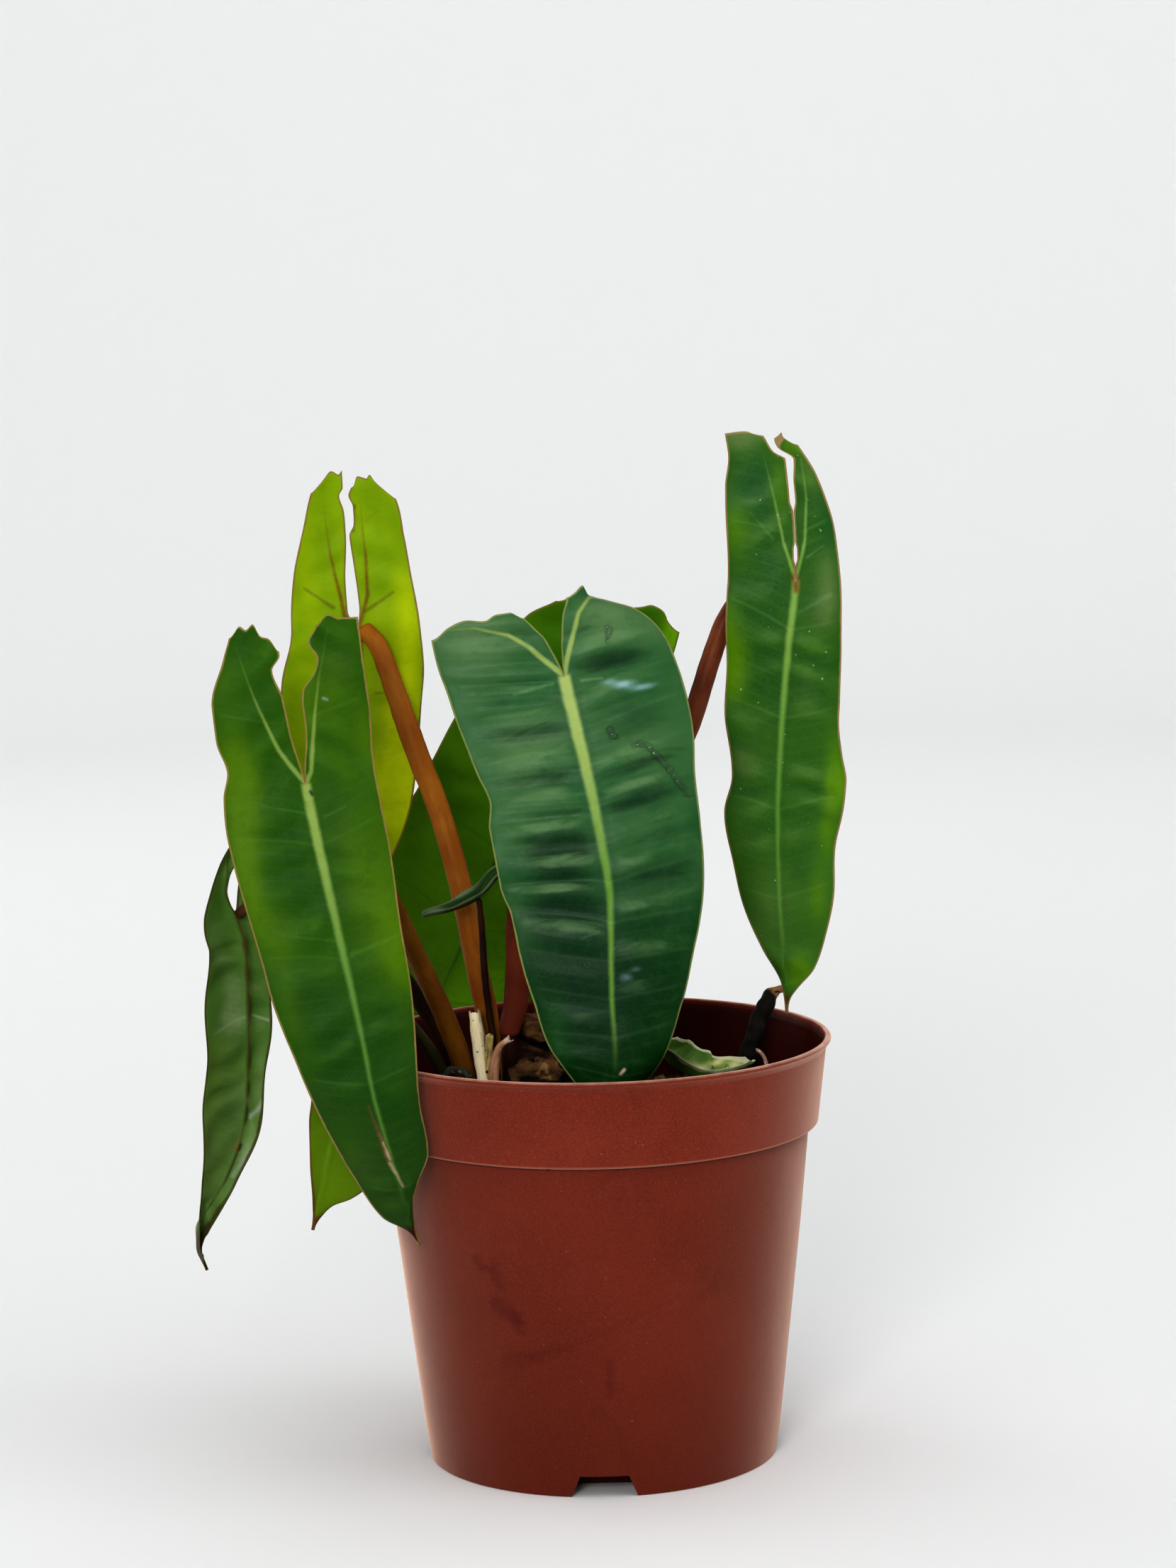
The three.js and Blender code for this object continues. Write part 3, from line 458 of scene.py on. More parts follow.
    def finish(self, roughness, normal=None, specular=0.5):
        """Puts the base colour, roughness, relief and gloss on the surface, and gives
        the material."""
        surface = self.surface.inputs
        self.plug(surface["Base Color"], self.base)
        self.plug(surface["Roughness"], roughness)
        surface["Specular IOR Level"].default_value = specular
        if normal is not None:
            self.plug(surface["Normal"], normal)
        return self.material


# Leaves. The shape numbers follow those of the solids, with small corrections: a
# blade lies on an axis that runs between its two back lobes, through the joint with
# the petiole (u = 0) and down the midrib to the tip. u is mm along the axis and s mm
# across it, to the viewer's right.
#   axis, join       points of the axis, and the number of the one at the joint
#   face             the way in which the blade looks
#   left, right      half widths at some u
#   slit_left, ...   inner edges of the lobes at some u above the joint
#   top_left, ...    how high each lobe reaches, from its inner to its outer edge
#   fold, bend       slope of the halves to the viewer, and how far a margin
#                    stands toward (+) or behind (-) that slope, left and right
#   pleat            height, spacing and slant of the folds between side veins
#   crests           left and right: the place and height of each crest, where the
#                    photograph shows them one by one
#   crinkle          height of the fine crinkles
#   wave             height, length and start of the waves in the margin
#   rib              height of the midrib and the side it stands on
#   rows, cells      how fine the mesh is, along the lobes and the blade, and across
#   lobe_ribs        the ribs of the two lobes, from the joint, as (u, s) points
#   patches          soft patches of painted_glow (painted light shining through the
#                    blade), shade (painted shade), pale (pale skin and painted sheen)
#                    and sky (the painted reflection of the sky): u, s, half sizes and
#                    amount
#   strokes          scars and single veins: u, s at both ends, half width at both
#                    ends, colour and strength
#   slot             the name of a finish, passed along with the piece

LEAVES = {
    "leaf_front_left": dict(
        axis=[
            (-72.5, -42, 222), (-72, -42, 203), (-69.5, -42, 181), (-63.5, -47, 151),
            (-57.5, -50, 121.5), (-54.5, -49.5, 103.5), (-51, -46.5, 88.5),
            (-47, -41, 71), (-45, -37, 63.5)],
        join=2,
        face=(0.05, -1, 0.1),
        left=[
            (-41, 14), (-31, 16.5), (-21, 20), (-13, 20), (-6, 18.5), (0, 20.5), (10, 21.5),
            (25, 21), (40, 20), (52, 19.5), (68, 17), (84, 13.5), (99, 10.5), (112, 6.5),
            (118, 1.8), (123, TIP)],
        right=[
            (-41, 17), (-35, 17.5), (-17, 18.5), (-3, 17.5), (20, 17), (38, 15.5), (54, 14.5),
            (66, 13), (85, 10.5), (98, 9), (105, 4.5), (112, 1.5), (123, TIP)],
        slit_left=[(-40, 3.5), (-32, 2.5), (-28.5, 4.5), (-22, 2.5), (-12, 1.5), (0, 0)],
        slit_right=[
            (-39, 6.5), (-35, 4.5), (-31, 6.5), (-27, 5.5), (-23, 2.5), (-12, 2), (0, 0)],
        top_left=[
            (0, 33), (0.15, 36), (0.35, 37), (0.5, 40), (0.65, 38.5), (0.8, 39.5), (1, 36.5)],
        top_right=[(0, 39), (0.3, 41.5), (0.55, 40.5), (1, 40.5)],
        fold=(0.06, 0.06), bend=(-2.4, -1.8), pleat=(0.3, 11, 0.35), wave=(0.6, 34, 6),
        crinkle=0.03,
        rib=(0.9, -1), rows=(60, 170), cells=26,
        lobe_ribs=([(0, 0), (-9, -5), (-21, -9), (-34, -13)],
                   [(0, 0), (-3, 2), (-27, 7), (-38, 9.5)]),
        patches=dict(
            painted_glow=[(-3, -16, 12, 5.5, 1.2), (12, -18, 8, 4, 0.5), (24, -19, 12, 4, 0.85),
                  (36, -14, 9, 5, 0.45), (53, -16, 9, 3.5, 0.4), (-28, -17, 10, 4, 0.3),
                  (-9, 17, 12, 3, 0.45), (20, 16.5, 14, 3, 0.25), (45, 14, 12, 4.5, 0.75),
                  (-18, 3, 12, 2, 0.4), (92, -10, 6, 3, 0.3), (28, 9, 26, 8, 0.6),
                  (-20, 9, 16, 7, 0.5)],
            shade=[(-32, 11, 12, 6, 0.35), (6, 6, 18, 5, 0.6), (32, 5, 24, 5, 0.55),
                   (72, 2, 22, 9, 0.6), (14, -6, 8, 5, 0.6), (60, -8, 18, 5, 0.45),
                   (90, 5, 16, 6, 0.5), (-22, -8, 14, 6, 0.5), (28, -9, 14, 7, 0.4),
                   (74, -8, 14, 5, 0.3)],
            pale=[(-29, 12, 8, 5, 0.35), (97, -8, 8, 5, 0.35), (25, 8, 16, 3, 0.3)]),
        strokes=[
            (6.9, -1.6, 3.2, -11.5, 0.25, 0.15, "5f9a4c", 0.2),
            (8.8, 3, 7.4, 8.9, 0.25, 0.12, "5f9a5c", 0.15),
            (39, -1.5, 35, -13.2, 0.3, 0.12, "6a9c40", 0.15),
            (43.2, 2, 41, 15.3, 0.4, 0.12, "6a9c40", 0.16),
            (2.1, 0.9, 2.8, 1.1, 0.35, 0.3, "14200a", 0.9),
            (-20.6, 7.4, -20.2, 8.2, 0.25, 0.25, "9ab8b0", 0.45),
            (80.9, -1.8, 88.6, -1.1, 0.15, 0.35, "6a4c34", 0.7),
            (88.6, -1.1, 97, -0.7, 0.35, 0.5, "7c5e44", 0.75),
            (91, -0.9, 96, -0.5, 0.1, 0.2, "b8a88c", 0.7),
            (97, -0.7, 103.9, 0.8, 0.4, 0.15, "b0a080", 0.7)],
        slot="leaf_green"),
    "leaf_back_left": dict(
        axis=[
            (-60.5, 12, 255), (-60.5, 14, 238.5), (-58.5, 14, 215), (-60.5, 16, 193.5),
            (-63, 18, 165), (-65, 18, 143), (-66, 16, 128)],
        join=2,
        face=(0, -1, 0.05),
        left=[
            (-40, 6.5), (-35, 9), (-25.5, 11.5), (-15.5, 15), (-6, 17), (5, 17.5), (17, 19),
            (35, 18.5), (55, 14), (75, 7), (87, TIP)],
        right=[
            (-39, 8.5), (-33, 13), (-22, 14.5), (-10, 15), (0, 16), (12, 17.5), (28, 17.5),
            (40, 17), (48, 16), (57, 13.5), (72, 7.5), (87, TIP)],
        slit_left=[
            (-40, 1), (-36, 0.9), (-34, 1.9), (-30, 0.8), (-24, 0.6), (-12, 2.2), (-4, 2.6),
            (-1.5, 1.6), (0, 0)],
        slit_right=[
            (-37, 1.5), (-34, 0.5), (-31, 1.6), (-26, 1.5), (-23.5, 0.3), (-15, 0.5),
            (-5, 0.5), (0, 0)],
        top_left=[(0, 40.5), (0.15, 39.5), (0.5, 40.5), (0.75, 39), (1, 35)],
        top_right=[(0, 36), (0.2, 39), (0.55, 38.5), (0.65, 39.5), (0.85, 37), (1, 33.5)],
        fold=(-0.05, -0.05), bend=(3, 3), pleat=(0.3, 12, 0.35), wave=(0.5, 30, 4),
        rib=(1, 1), rows=(60, 130), cells=24,
        lobe_ribs=([(0, 0), (-3, -3.5), (-18, -5), (-34, -6)],
                   [(0, 0), (-2.4, 1), (-8, 3), (-18.5, 4), (-33, 3.6)]),
        patches=dict(
            painted_glow=[(41, 13, 14, 6, 1.2), (20, 12, 12, 5, 0.9), (-2, 13, 14, 4, 0.6),
                  (20, -9, 18, 6, 0.4), (48, 4, 10, 8, 0.5), (-10, -12, 10, 3, 0.3)],
            shade=[(-36, 5, 4, 4, 0.6), (-22, -6, 12, 5, 0.8), (-24, 8, 8, 4, 0.3),
                   (-36, -6, 5, 4, 0.4)],
            pale=[(-8, 10, 5, 3, 0.3)]),
        strokes=[
            (-11.7, -13, -5.4, -6.2, 0.15, 0.4, "6a6416", 0.8),
            (-7.8, 9.7, -3.8, 2, 0.15, 0.4, "6a6416", 0.8),
            (17.1, 5.4, 16.4, 9, 0.3, 0.15, "6a7414", 0.7),
            (-30.1, -7.1, -29.4, -4.3, 0.15, 0.25, "7a8a14", 0.5),
            (-30.1, 8.1, -27.1, 4.8, 0.15, 0.25, "7a8a14", 0.5),
            (-31.1, 1.7, -24.8, 1.2, 0.5, 0.4, "2c3008", 0.8)],
        slot="leaf_yellow_green"),
    "leaf_far_left": dict(
        axis=[
            (-89, 2, 165), (-91.5, 0, 142), (-89.8, -1, 135), (-89.3, -1.5, 118.5),
            (-89.8, -1, 103.5), (-91.5, 0, 87), (-96.5, 1, 73.5), (-103, 2, 62.5),
            (-104.5, 2, 55.5), (-102.3, 1, 49)],
        join=1,
        face=(0.6, -0.8, 0.05),
        left=[
            (-23, 3), (-18, 6), (-13.5, 8), (-5, 9.5), (3, 11.5), (20, 13.5), (43, 14),
            (58, 13), (70, 8.5), (78, 4.5), (85, 2.3), (91, 1.5), (96.5, TIP)],
        right=[
            (-23, 8), (-14, 9), (-5, 8), (8, 7.5), (24, 6.5), (42, 5), (56, 3.5), (66, 3),
            (73, 2.5), (80, 1.8), (87, 0.9), (96.5, TIP)],
        slit_left=[(-20, 0.3), (-15, 0.8), (-10, 2.8), (-7, 2.8), (-3, 1.5), (0, 0)],
        slit_right=[(-20, 0.6), (-14, 0.3), (-10, 0.5), (-4, 0.3), (0, 0)],
        top_left=[(0, 17), (0.4, 21), (0.8, 20.5), (1, 17)],
        top_right=[(0, 17), (0.4, 21), (0.8, 20), (1, 17)],
        fold=(-0.12, -0.25), bend=(4, 3), pleat=(0.6, 10, 0.3), wave=(0.8, 26, 3),
        rib=(0.9, 1), rows=(32, 140), cells=20,
        lobe_ribs=([(0, 0), (-6, -4), (-17, -5)], [(0, 0), (-6, 3), (-17, 5)]),
        patches=dict(
            painted_glow=[(40, -10, 16, 3, 0.35), (66, -5, 8, 3, 0.3)],
            shade=[(12, -8, 8, 4, 0.4), (52, -5, 8, 4, 0.4), (35, -3, 5, 4, 0.4)],
            pale=[(20, -4, 8, 4, 0.55), (27, -5, 4, 5, 0.6), (46, -2, 6, 4, 0.3),
                  (61, 2.5, 5, 2, 0.7), (40, 4, 10, 1.5, 0.35), (5, -9, 8, 3, 0.3)]),
        strokes=[
            (29.3, -11, 27.2, -5, 0.15, 0.4, "8fa07c", 0.55),
            (27.2, -5, 26.2, -1, 0.4, 0.25, "8fa07c", 0.55),
            (26, 1.5, 27.5, 5.4, 0.2, 0.35, "aab49c", 0.6),
            (53, 1.8, 48.9, 4.1, 0.4, 0.6, "a8b0a0", 0.6),
            (68.9, 1.6, 61, 3.2, 0.3, 0.6, "9aa292", 0.55),
            (60.2, 0.5, 61.4, 0.6, 0.5, 0.4, "24120a", 0.9),
            (59, -0.6, 62, -0.8, 0.5, 0.4, "8a6a3a", 0.5)],
        slot="leaf_grey_green"),
    "leaf_low_left": dict(
        axis=[
            (-57, -19, 140), (-59.5, -23, 125.5), (-62.5, -27, 108), (-66.5, -27.5, 90),
            (-70, -26, 76), (-72.5, -24, 65)],
        join=1,
        face=(0, -1, 0.05),
        left=[
            (-15, 5), (-8, 7.5), (0, 9), (10, 9), (20, 8.5), (28.5, 7), (34, 6.5), (45, 4),
            (54, 1.5), (62, TIP)],
        right=[
            (-15, 4), (-8, 4.5), (0, 4.5), (10, 4.5), (20, 5.5), (30, 8.5), (40, 10.5),
            (48, 11), (52.5, 8), (55.5, 3.8), (59, 1.5), (62, TIP)],
        slit_left=[(-14, 0.8), (-6, 0.8), (0, 0)],
        slit_right=[(-14, 0.8), (-6, 0.8), (0, 0)],
        top_left=[(0, 12), (0.5, 14.5), (1, 12)],
        top_right=[(0, 12), (0.5, 14.5), (1, 12)],
        fold=(0, 0), bend=(1, -1), pleat=(0.2, 10, 0.3), wave=(0.3, 22, 2),
        rib=(0.6, 1), rows=(24, 90), cells=18,
        lobe_ribs=([(0, 0), (-5, -3), (-11, -4)], [(0, 0), (-5, 2), (-11, 2.5)]),
        slot="leaf_bright_green"),
    "leaf_centre_front": dict(
        axis=[
            (-8, -33, 224), (-5.5, -35, 205.5), (-3, -38, 194), (0, -42, 180.5),
            (2.5, -45, 167), (4.5, -47, 153), (4.5, -49, 139), (4.5, -50, 125.5),
            (5, -51, 114.5), (4.5, -51, 106), (3.5, -50.5, 97.5)],
        join=1,
        face=(0, -1, 0.15),
        left=[
            (-18, 31), (-7.5, 30.5), (0, 29), (7.5, 28), (18.5, 26.5), (26.5, 25), (34, 26.5),
            (48, 26.5), (60, 24.5), (74, 21.5), (82, 19), (94, 15.5), (101, 11), (107, 5),
            (110.5, TIP)],
        right=[
            (-19, 9.5), (-17, 13.5), (-14, 20), (-9.5, 24.5), (-4, 27), (2, 28), (11, 28.5),
            (20, 28), (30, 26), (41, 25), (51, 24), (62, 22), (72, 20), (81, 18), (91, 14.5),
            (100, 9.5), (107, 4), (110.5, TIP)],
        slit_left=[(-18, 8.5), (-13, 5.5), (-10, 3.2), (-7, 2), (-4, 0.9), (0, 0)],
        slit_right=[(-19, 3.5), (-15, 2), (-9.5, 0.9), (-6, 0.4), (0, 0)],
        top_left=[
            (0, 15.5), (0.1, 17.5), (0.25, 17.5), (0.4, 16.3), (0.6, 17.2), (0.8, 16),
            (1, 13.5)],
        top_right=[(0, 19), (0.4, 20), (0.75, 21.5), (0.9, 19.3), (1, 18.6)],
        fold=(0.01, 0.1), bend=(-1, -7), pleat=(0.6, 9.5, -0.12), wave=(0.4, 30, 5),
        crinkle=0.05,
        crests=([(-20, 0), (-13.5, 0.31), (-6.7, 0.37), (-0.8, 0.37), (3, 0.37), (9.3, 0.5),
                 (21, 0.68), (31.5, 0.5), (38.3, 0.74), (47.9, 0.56), (54.5, 0.74), (67, 0.56),
                 (77, 0.28), (87, 0.22), (97, 0.12), (108, 0)],
                [(-24, 0), (-15, 0.19), (-4.5, 0.74), (8.5, 0.56), (15.5, 0.31), (24.5, 0.56),
                 (32.5, 0.74), (41.5, 0.31), (50, 0.56), (60, 0.56), (71, 0.5), (81, 0.25),
                 (91, 0.19), (99, 0.12), (108, 0)]),
        rib=(1, -1), rows=(44, 220), cells=40,
        lobe_ribs=([(0, 0), (-8, -7), (-12, -12), (-15, -20), (-15.5, -29)],
                   [(0, 0), (-4, 1.5), (-15, 6), (-18, 9), (-19, 14)]),
        patches=dict(
            painted_glow=[(88, -14, 12, 4, 0.6), (92, 14, 8, 4, 0.4), (40, 26, 20, 2, 0.2),
                  (66, -22, 12, 2.5, 0.3)],
            shade=[(-2, 13, 3, 9, 0.8), (14, 14, 5, 9, 0.5), (33, 12, 4, 9, 0.7),
                   (42, -9, 4, 8, 0.8), (59, -11, 4, 8, 0.7), (52, 12, 4, 8, 0.5),
                   (25, -9, 3, 8, 0.5), (78, 6, 14, 9, 0.5), (75, -10, 10, 8, 0.35),
                   (48, -10, 9, 6, 0.35), (86, -6, 14, 8, 0.5), (66, -16, 12, 8, 0.35),
                   (44, -14, 12, 9, 0.4), (70, -6, 20, 14, 0.4)],
            pale=[(-12, -20, 8, 11, 0.8), (-13, 12, 6, 9, 0.9), (15, -12, 10, 12, 0.6),
                  (32, -18, 12, 8, 0.35), (21, 14, 6, 9, 0.5), (-8, 24, 6, 5, 0.4),
                  (56, 12, 6, 8, 0.25)],
            sky=[(4.0, 10.5, 1.0, 2.4, 0.45), (5.6, 14, 1.1, 2.8, 0.7),
                 (7.2, 18.5, 0.8, 3.4, 0.6), (75.6, 3.4, 1.3, 1.8, 0.35),
                 (73.6, 6, 0.8, 1.6, 0.3)]),
        strokes=[
            (2, 4, 2.6, 9, 0.3, 0.2, "8fae82", 0.3),
            (1.4, -3, 1.9, -13, 0.3, 0.15, "84a878", 0.3),
            (64.5, -3, 66, -7, 0.2, 0.15, "6a8a6a", 0.2),
            (98.2, 2.3, 99.2, 1.4, 0.3, 0.2, "d8c0a8", 0.9)],
        slot="leaf_blue_green"),
    "leaf_right": dict(
        axis=[
            (52.5, 9, 261), (54, 10, 244.5), (54.3, 10, 224.5), (52.5, 10.5, 209.5),
            (51, 12, 195), (49.8, 13, 180), (49, 14, 165), (49, 16, 146), (49.8, 18, 129),
            (50.7, 20, 109.5)],
        join=2,
        face=(-0.12, -1, 0.05),
        left=[
            (-40, 15.5), (-34.5, 15.3), (-26, 17), (-12, 17.5), (2, 17.5), (11, 17),
            (24, 15.5), (36, 15), (46, 13), (52.5, 12.3), (61, 14), (73.5, 12), (85.5, 9.8),
            (97.5, 5.5), (107, 1.2), (115.5, TIP)],
        right=[
            (-38, 0.2), (-35.5, 1.9), (-33, 3.4), (-28, 6), (-22, 8), (-15, 9.8), (-7, 10.8),
            (13, 13.2), (30, 14.5), (37, 14.7), (45, 16), (52, 17.5), (60, 17), (71, 14.8),
            (84, 14.2), (94.5, 11.5), (104, 7.8), (109, 3.2), (112, 1), (115.5, TIP)],
        slit_left=[
            (-39, 7), (-38, 5.8), (-35, 4.4), (-33.6, 3.6), (-32.5, 2.2), (-31.5, 0.8),
            (-20.5, 0.8), (-17.5, 0.05), (-10, 0.05), (-8, 0.45), (-5.5, 0.45), (-4, 0.05),
            (0, 0)],
        slit_right=[
            (-38.3, -2), (-36.8, -3.1), (-34.5, -2.4), (-33.4, -1.2), (-32.6, 0),
            (-31.2, 1.2), (-25, 0.6), (-20.5, 0.6), (-17.5, 0.05), (-10, 0.05), (-8, 0.45),
            (-5.5, 0.45), (-4, 0.05), (0, 0)],
        top_left=[(0, 38), (0.3, 39.3), (0.6, 39.6), (1, 39.5)],
        top_right=[(0, 37), (0.4, 38.3), (1, 34.5)],
        fold=(0.07, 0.05), bend=(-1, -1.8), pleat=(0.25, 12, 0.3), wave=(0.7, 28, 4),
        crinkle=0.03,
        rib=(1, -1), rows=(60, 160), cells=26,
        lobe_ribs=([(0, 0), (-10, -3), (-20, -4.5), (-31, -6)],
                   [(0, 0), (-10, 2.5), (-22, 3.5), (-31, 3)]),
        patches=dict(
            painted_glow=[(-14, -15, 8, 5, 0.6), (22, -14, 9, 5, 0.75), (29, -13, 6, 3, 0.4),
                  (44, 14, 10, 3, 0.5), (54, 15, 6, 3, 1.0), (66, 13, 8, 3, 0.7),
                  (84, 10, 9, 3, 0.6), (105, 4, 6, 4, 0.9), (-35, 2, 4, 3, 0.8),
                  (12, -16, 8, 3, 0.4), (-24, -3, 10, 3, 0.5), (75, -11, 8, 2, 0.3)],
            shade=[(-26, -10, 8, 5, 0.5), (0, -6, 9, 4, 0.5), (-18, 8, 12, 3, 0.4),
                   (70, 6, 10, 4, 0.4), (-22, -8, 14, 9, 0.5), (-4, 8, 14, 5, 0.4)],
            pale=[(50, -8, 20, 6, 0.2), (88, -2, 16, 8, 0.4), (-38, -12, 4, 6, 0.8),
                  (-31, 6, 12, 4, 0.5), (-4, 8, 6, 3, 0.4), (6, 8, 7, 4, 0.7),
                  (28, 6, 8, 4, 0.3), (48, -10, 4, 5, 0.4)]),
        strokes=[
            (-11, -5.6, -18, -11, 0.2, 0.1, "6a9a5c", 0.3),
            (-6, 3, -8.6, 6.9, 0.2, 0.1, "84a87c", 0.3),
            # the next stroke paints a pale sheen on the blade
            (8, 1.6, 3, 9, 0.2, 0.6, "84aa7c", 0.2),
            (-0.9, -0.2, 2.4, 0.2, 0.9, 0.7, "7a4a1c", 0.85)],
        slot="leaf_green"),
    "leaf_centre_back": dict(
        axis=[
            (8, 37, 228), (-2, 40, 205), (-10, 42, 185.5), (-18, 46, 166.5), (-27, 51, 145),
            (-35.5, 56, 124), (-43, 61.5, 108), (-49, 64, 92)],
        join=1,
        face=(0, -1, 0.05),
        left=[
            (-13, 9.5), (-4, 16), (10, 20.5), (28, 24), (42, 25.5), (52, 26.5), (60, 28),
            (70, 28), (85, 23), (105, 12), (125.5, TIP)],
        right=[
            (-22, 20), (-17, 22.5), (-5, 24), (12, 24.5), (28, 25), (42, 25), (55, 24.5),
            (70, 24), (85, 24), (97, 23.5), (107, 20), (116, 12), (125.5, TIP)],
        slit_left=[(-20, 3.5), (-10, 1.5), (0, 0)],
        slit_right=[(-20, 6), (-12, 2.5), (0, 0)],
        top_left=[(0, 13), (0.5, 14.5), (1, 10.5)],
        top_right=[(0, 14), (0.3, 17), (0.5, 19), (0.7, 18.5), (0.8, 16.5), (1, 15)],
        fold=(-0.04, -0.04), bend=(2, 1), pleat=(0.3, 12, 0.3), wave=(0.5, 32, 8),
        rib=(1, 1), rows=(36, 170), cells=34,
        lobe_ribs=([(0, 0), (-5, -4), (-12, -8)], [(0, 0), (-5, 5), (-15, 12)]),
        patches=dict(
            painted_glow=[(96, 14, 14, 6, 0.8), (108, 4, 12, 6, 0.7), (-14, 22, 5, 4, 1.0),
                  (-4, 22, 8, 4, 0.5)],
            shade=[(60, 5, 16, 10, 0.5), (30, -8, 20, 8, 0.4), (-8, 4, 8, 5, 0.4)]),
        slot="leaf_green"),
    "leaf_small": dict(
        axis=[
            (-18.5, -12, 156), (-23.5, -13, 152.5), (-28.6, -14, 147.8), (-35, -15.5, 145),
            (-42.8, -17, 143.5)],
        join=2,
        face=(-0.3, -0.15, 0.94),
        left=[(-12, 2.5), (-6, 4), (0, 4.2), (7, 3.2), (12, 2.3), (14.8, 1.5), (15.5, TIP)],
        right=[(-12, 2.5), (-6, 4), (0, 4.2), (7, 3.2), (12, 2.3), (14.8, 1.5), (15.5, TIP)],
        slit_left=[(-10, 0.8), (-5, 0.5), (0, 0)],
        slit_right=[(-10, 0.8), (-5, 0.5), (0, 0)],
        top_left=[(0, 9), (0.5, 11), (1, 9)],
        top_right=[(0, 9), (0.5, 11), (1, 9)],
        fold=(0.35, 0.35), bend=(0.5, 0.5), pleat=(0, 10, 0), wave=(0.3, 12, 0),
        rib=(0.4, -1), rows=(16, 40), cells=10,
        lobe_ribs=([(0, 0), (-4, -1.8), (-9, -2)], [(0, 0), (-4, 1.8), (-9, 2)]),
        patches=dict(
            pale=[(12, 0, 3, 2, 1.0), (4, -3.5, 8, 1, 0.8), (4, 3.5, 8, 1, 0.8)]),
        slot="leaf_grey_green"),
    "leaf_curled": dict(
        axis=[
            (14.6, 8, 108.4), (16.4, 5.5, 105), (18.3, 3.5, 102), (21.6, 2.2, 99.3),
            (26.5, 1.5, 97), (32, 2, 96.2), (37.5, 5, 97.4), (41.6, 8, 99.6)],
        join=2,
        face=(0.05, -0.3, 0.95),
        left=[
            (-5, 3.4), (-1, 4.6), (1.5, 4.3), (4.5, 2.6), (8, 2.3), (14, 2.2), (20, 2),
            (24, 1.4), (27, TIP)],
        right=[(-5, 4), (0, 6.5), (4, 7.4), (10, 7.8), (16, 6.6), (22, 3.8), (27, TIP)],
        slit_left=[(-4, 0.4), (0, 0)],
        slit_right=[(-4, 0.4), (0, 0)],
        top_left=[(0, 3.5), (0.5, 4.4), (1, 3.5)],
        top_right=[(0, 3.5), (0.5, 4.4), (1, 3.5)],
        fold=(1.3, 0.25), bend=(1.2, 2.2), pleat=(0.25, 5, 0.3), wave=(0.3, 12, 2),
        rib=(0.3, -1), rows=(10, 90), cells=24,
        lobe_ribs=([(0, 0), (-1.5, -0.9), (-3, -1.2)], [(0, 0), (-1.5, 0.9), (-3, 1.2)]),
        patches=dict(
            shade=[(14, 1, 6, 1.5, 0.5)],
            pale=[(10, 3, 3, 1.2, 0.8), (17, 4.5, 5, 0.8, 0.9), (22, 2, 3, 1.5, 0.7)]),
        slot="leaf_pale_green"),
}


class Blade:
    """The middle layer of a leaf as a surface over (u, s): a point of the axis, plus s
    across it, plus a lift toward the viewer that is the fold's slope, the margin's
    bend (growing with the square of the way out), the pleats between side veins and
    the margin's waves (growing with its cube)."""

    def __init__(self, leaf):
        self.leaf = leaf
        self.axis = Line(leaf["axis"], leaf["join"])
        self.left, self.right = through(leaf["left"]), through(leaf["right"])
        self.face = unit(np.array(leaf["face"], float))
        self.end = self.axis.end

    def pleats(self, u, s, shift=0.0):
        """Height of the pleats at (u, s): a cosine that peaks on each crest line, or on
        even crests that wander, and dies out at the midrib and at the margin."""
        leaf = self.leaf
        high, step, slant = leaf["pleat"]
        way = np.abs(s)
        half = np.where(s < 0, self.left(u), self.right(u))
        q = np.minimum(way / np.maximum(half, 1), 1)
        calm = np.clip((self.end - u) / CALM_END, 0, 1) * np.sin(np.pi * q ** 0.8)
        at = u - slant * way
        fine = leaf.get("crinkle", 0) * ripple(np.stack([at, s / 4], -1), 3.2, 9, 10)
        if "crests" in leaf:
            ridge = np.zeros(u.shape)
            for sign, crests in zip((-1, 1), leaf["crests"]):
                lines = np.array(crests, float)[:, 0]
                phase = np.interp(at, lines, np.arange(len(lines)))
                tall = through(crests)(at)
                ridge += np.where(s * sign > 0, tall * np.cos(TAU * (phase + shift)), 0)
            return (ridge + fine) * calm
        wander = ripple(np.stack([u, s], -1), 34, len(leaf["left"]), 6)
        tall = high * (1 + 0.5 * ripple(np.stack([u, s], -1), 24, len(leaf["right"]), 6))
        return (tall * np.cos(TAU * (at / step + 0.3 * wander + shift)) + fine) * calm

    def place(self, u, s):
        """Points of the blade at (u, s)."""
        leaf = self.leaf
        along = self.axis.along(u, 0.5)
        across = unit(np.cross(self.face, along))
        out = np.cross(along, across)
        left = s < 0
        half = np.where(left, self.left(u), self.right(u))
        way = np.abs(s)
        q = np.minimum(way / np.maximum(half, 1), 1)
        inside = np.clip((self.end - u) / CALM_END, 0, 1)
        wave, length, start = leaf["wave"]
        start = np.where(left, -start, start)
        lift = (np.where(left, *leaf["fold"]) * way + np.where(left, *leaf["bend"]) * q * q
                + self.pleats(u, s)
                + wave * inside * q ** 3 * np.sin(TAU * (u + start) / length))
        return self.axis.place(u) + across * s[..., None] + out * lift[..., None]

    def normal(self, u, s, sign):
        """The surface's normal toward the viewer, with the slope across it taken
        from the inner side of the place, as the halves meet in a crease."""
        e = 0.15
        du = self.place(u + e, s) - self.place(u - e, s)
        ds = (self.place(u, s - sign * e) - self.place(u, s)) * -sign
        middle = self.place(u, np.full_like(s, e)) - self.place(u, np.full_like(s, -e))
        ds = np.where((np.abs(s) < 1e-6)[..., None], middle, ds)
        return unit(np.cross(du, ds))


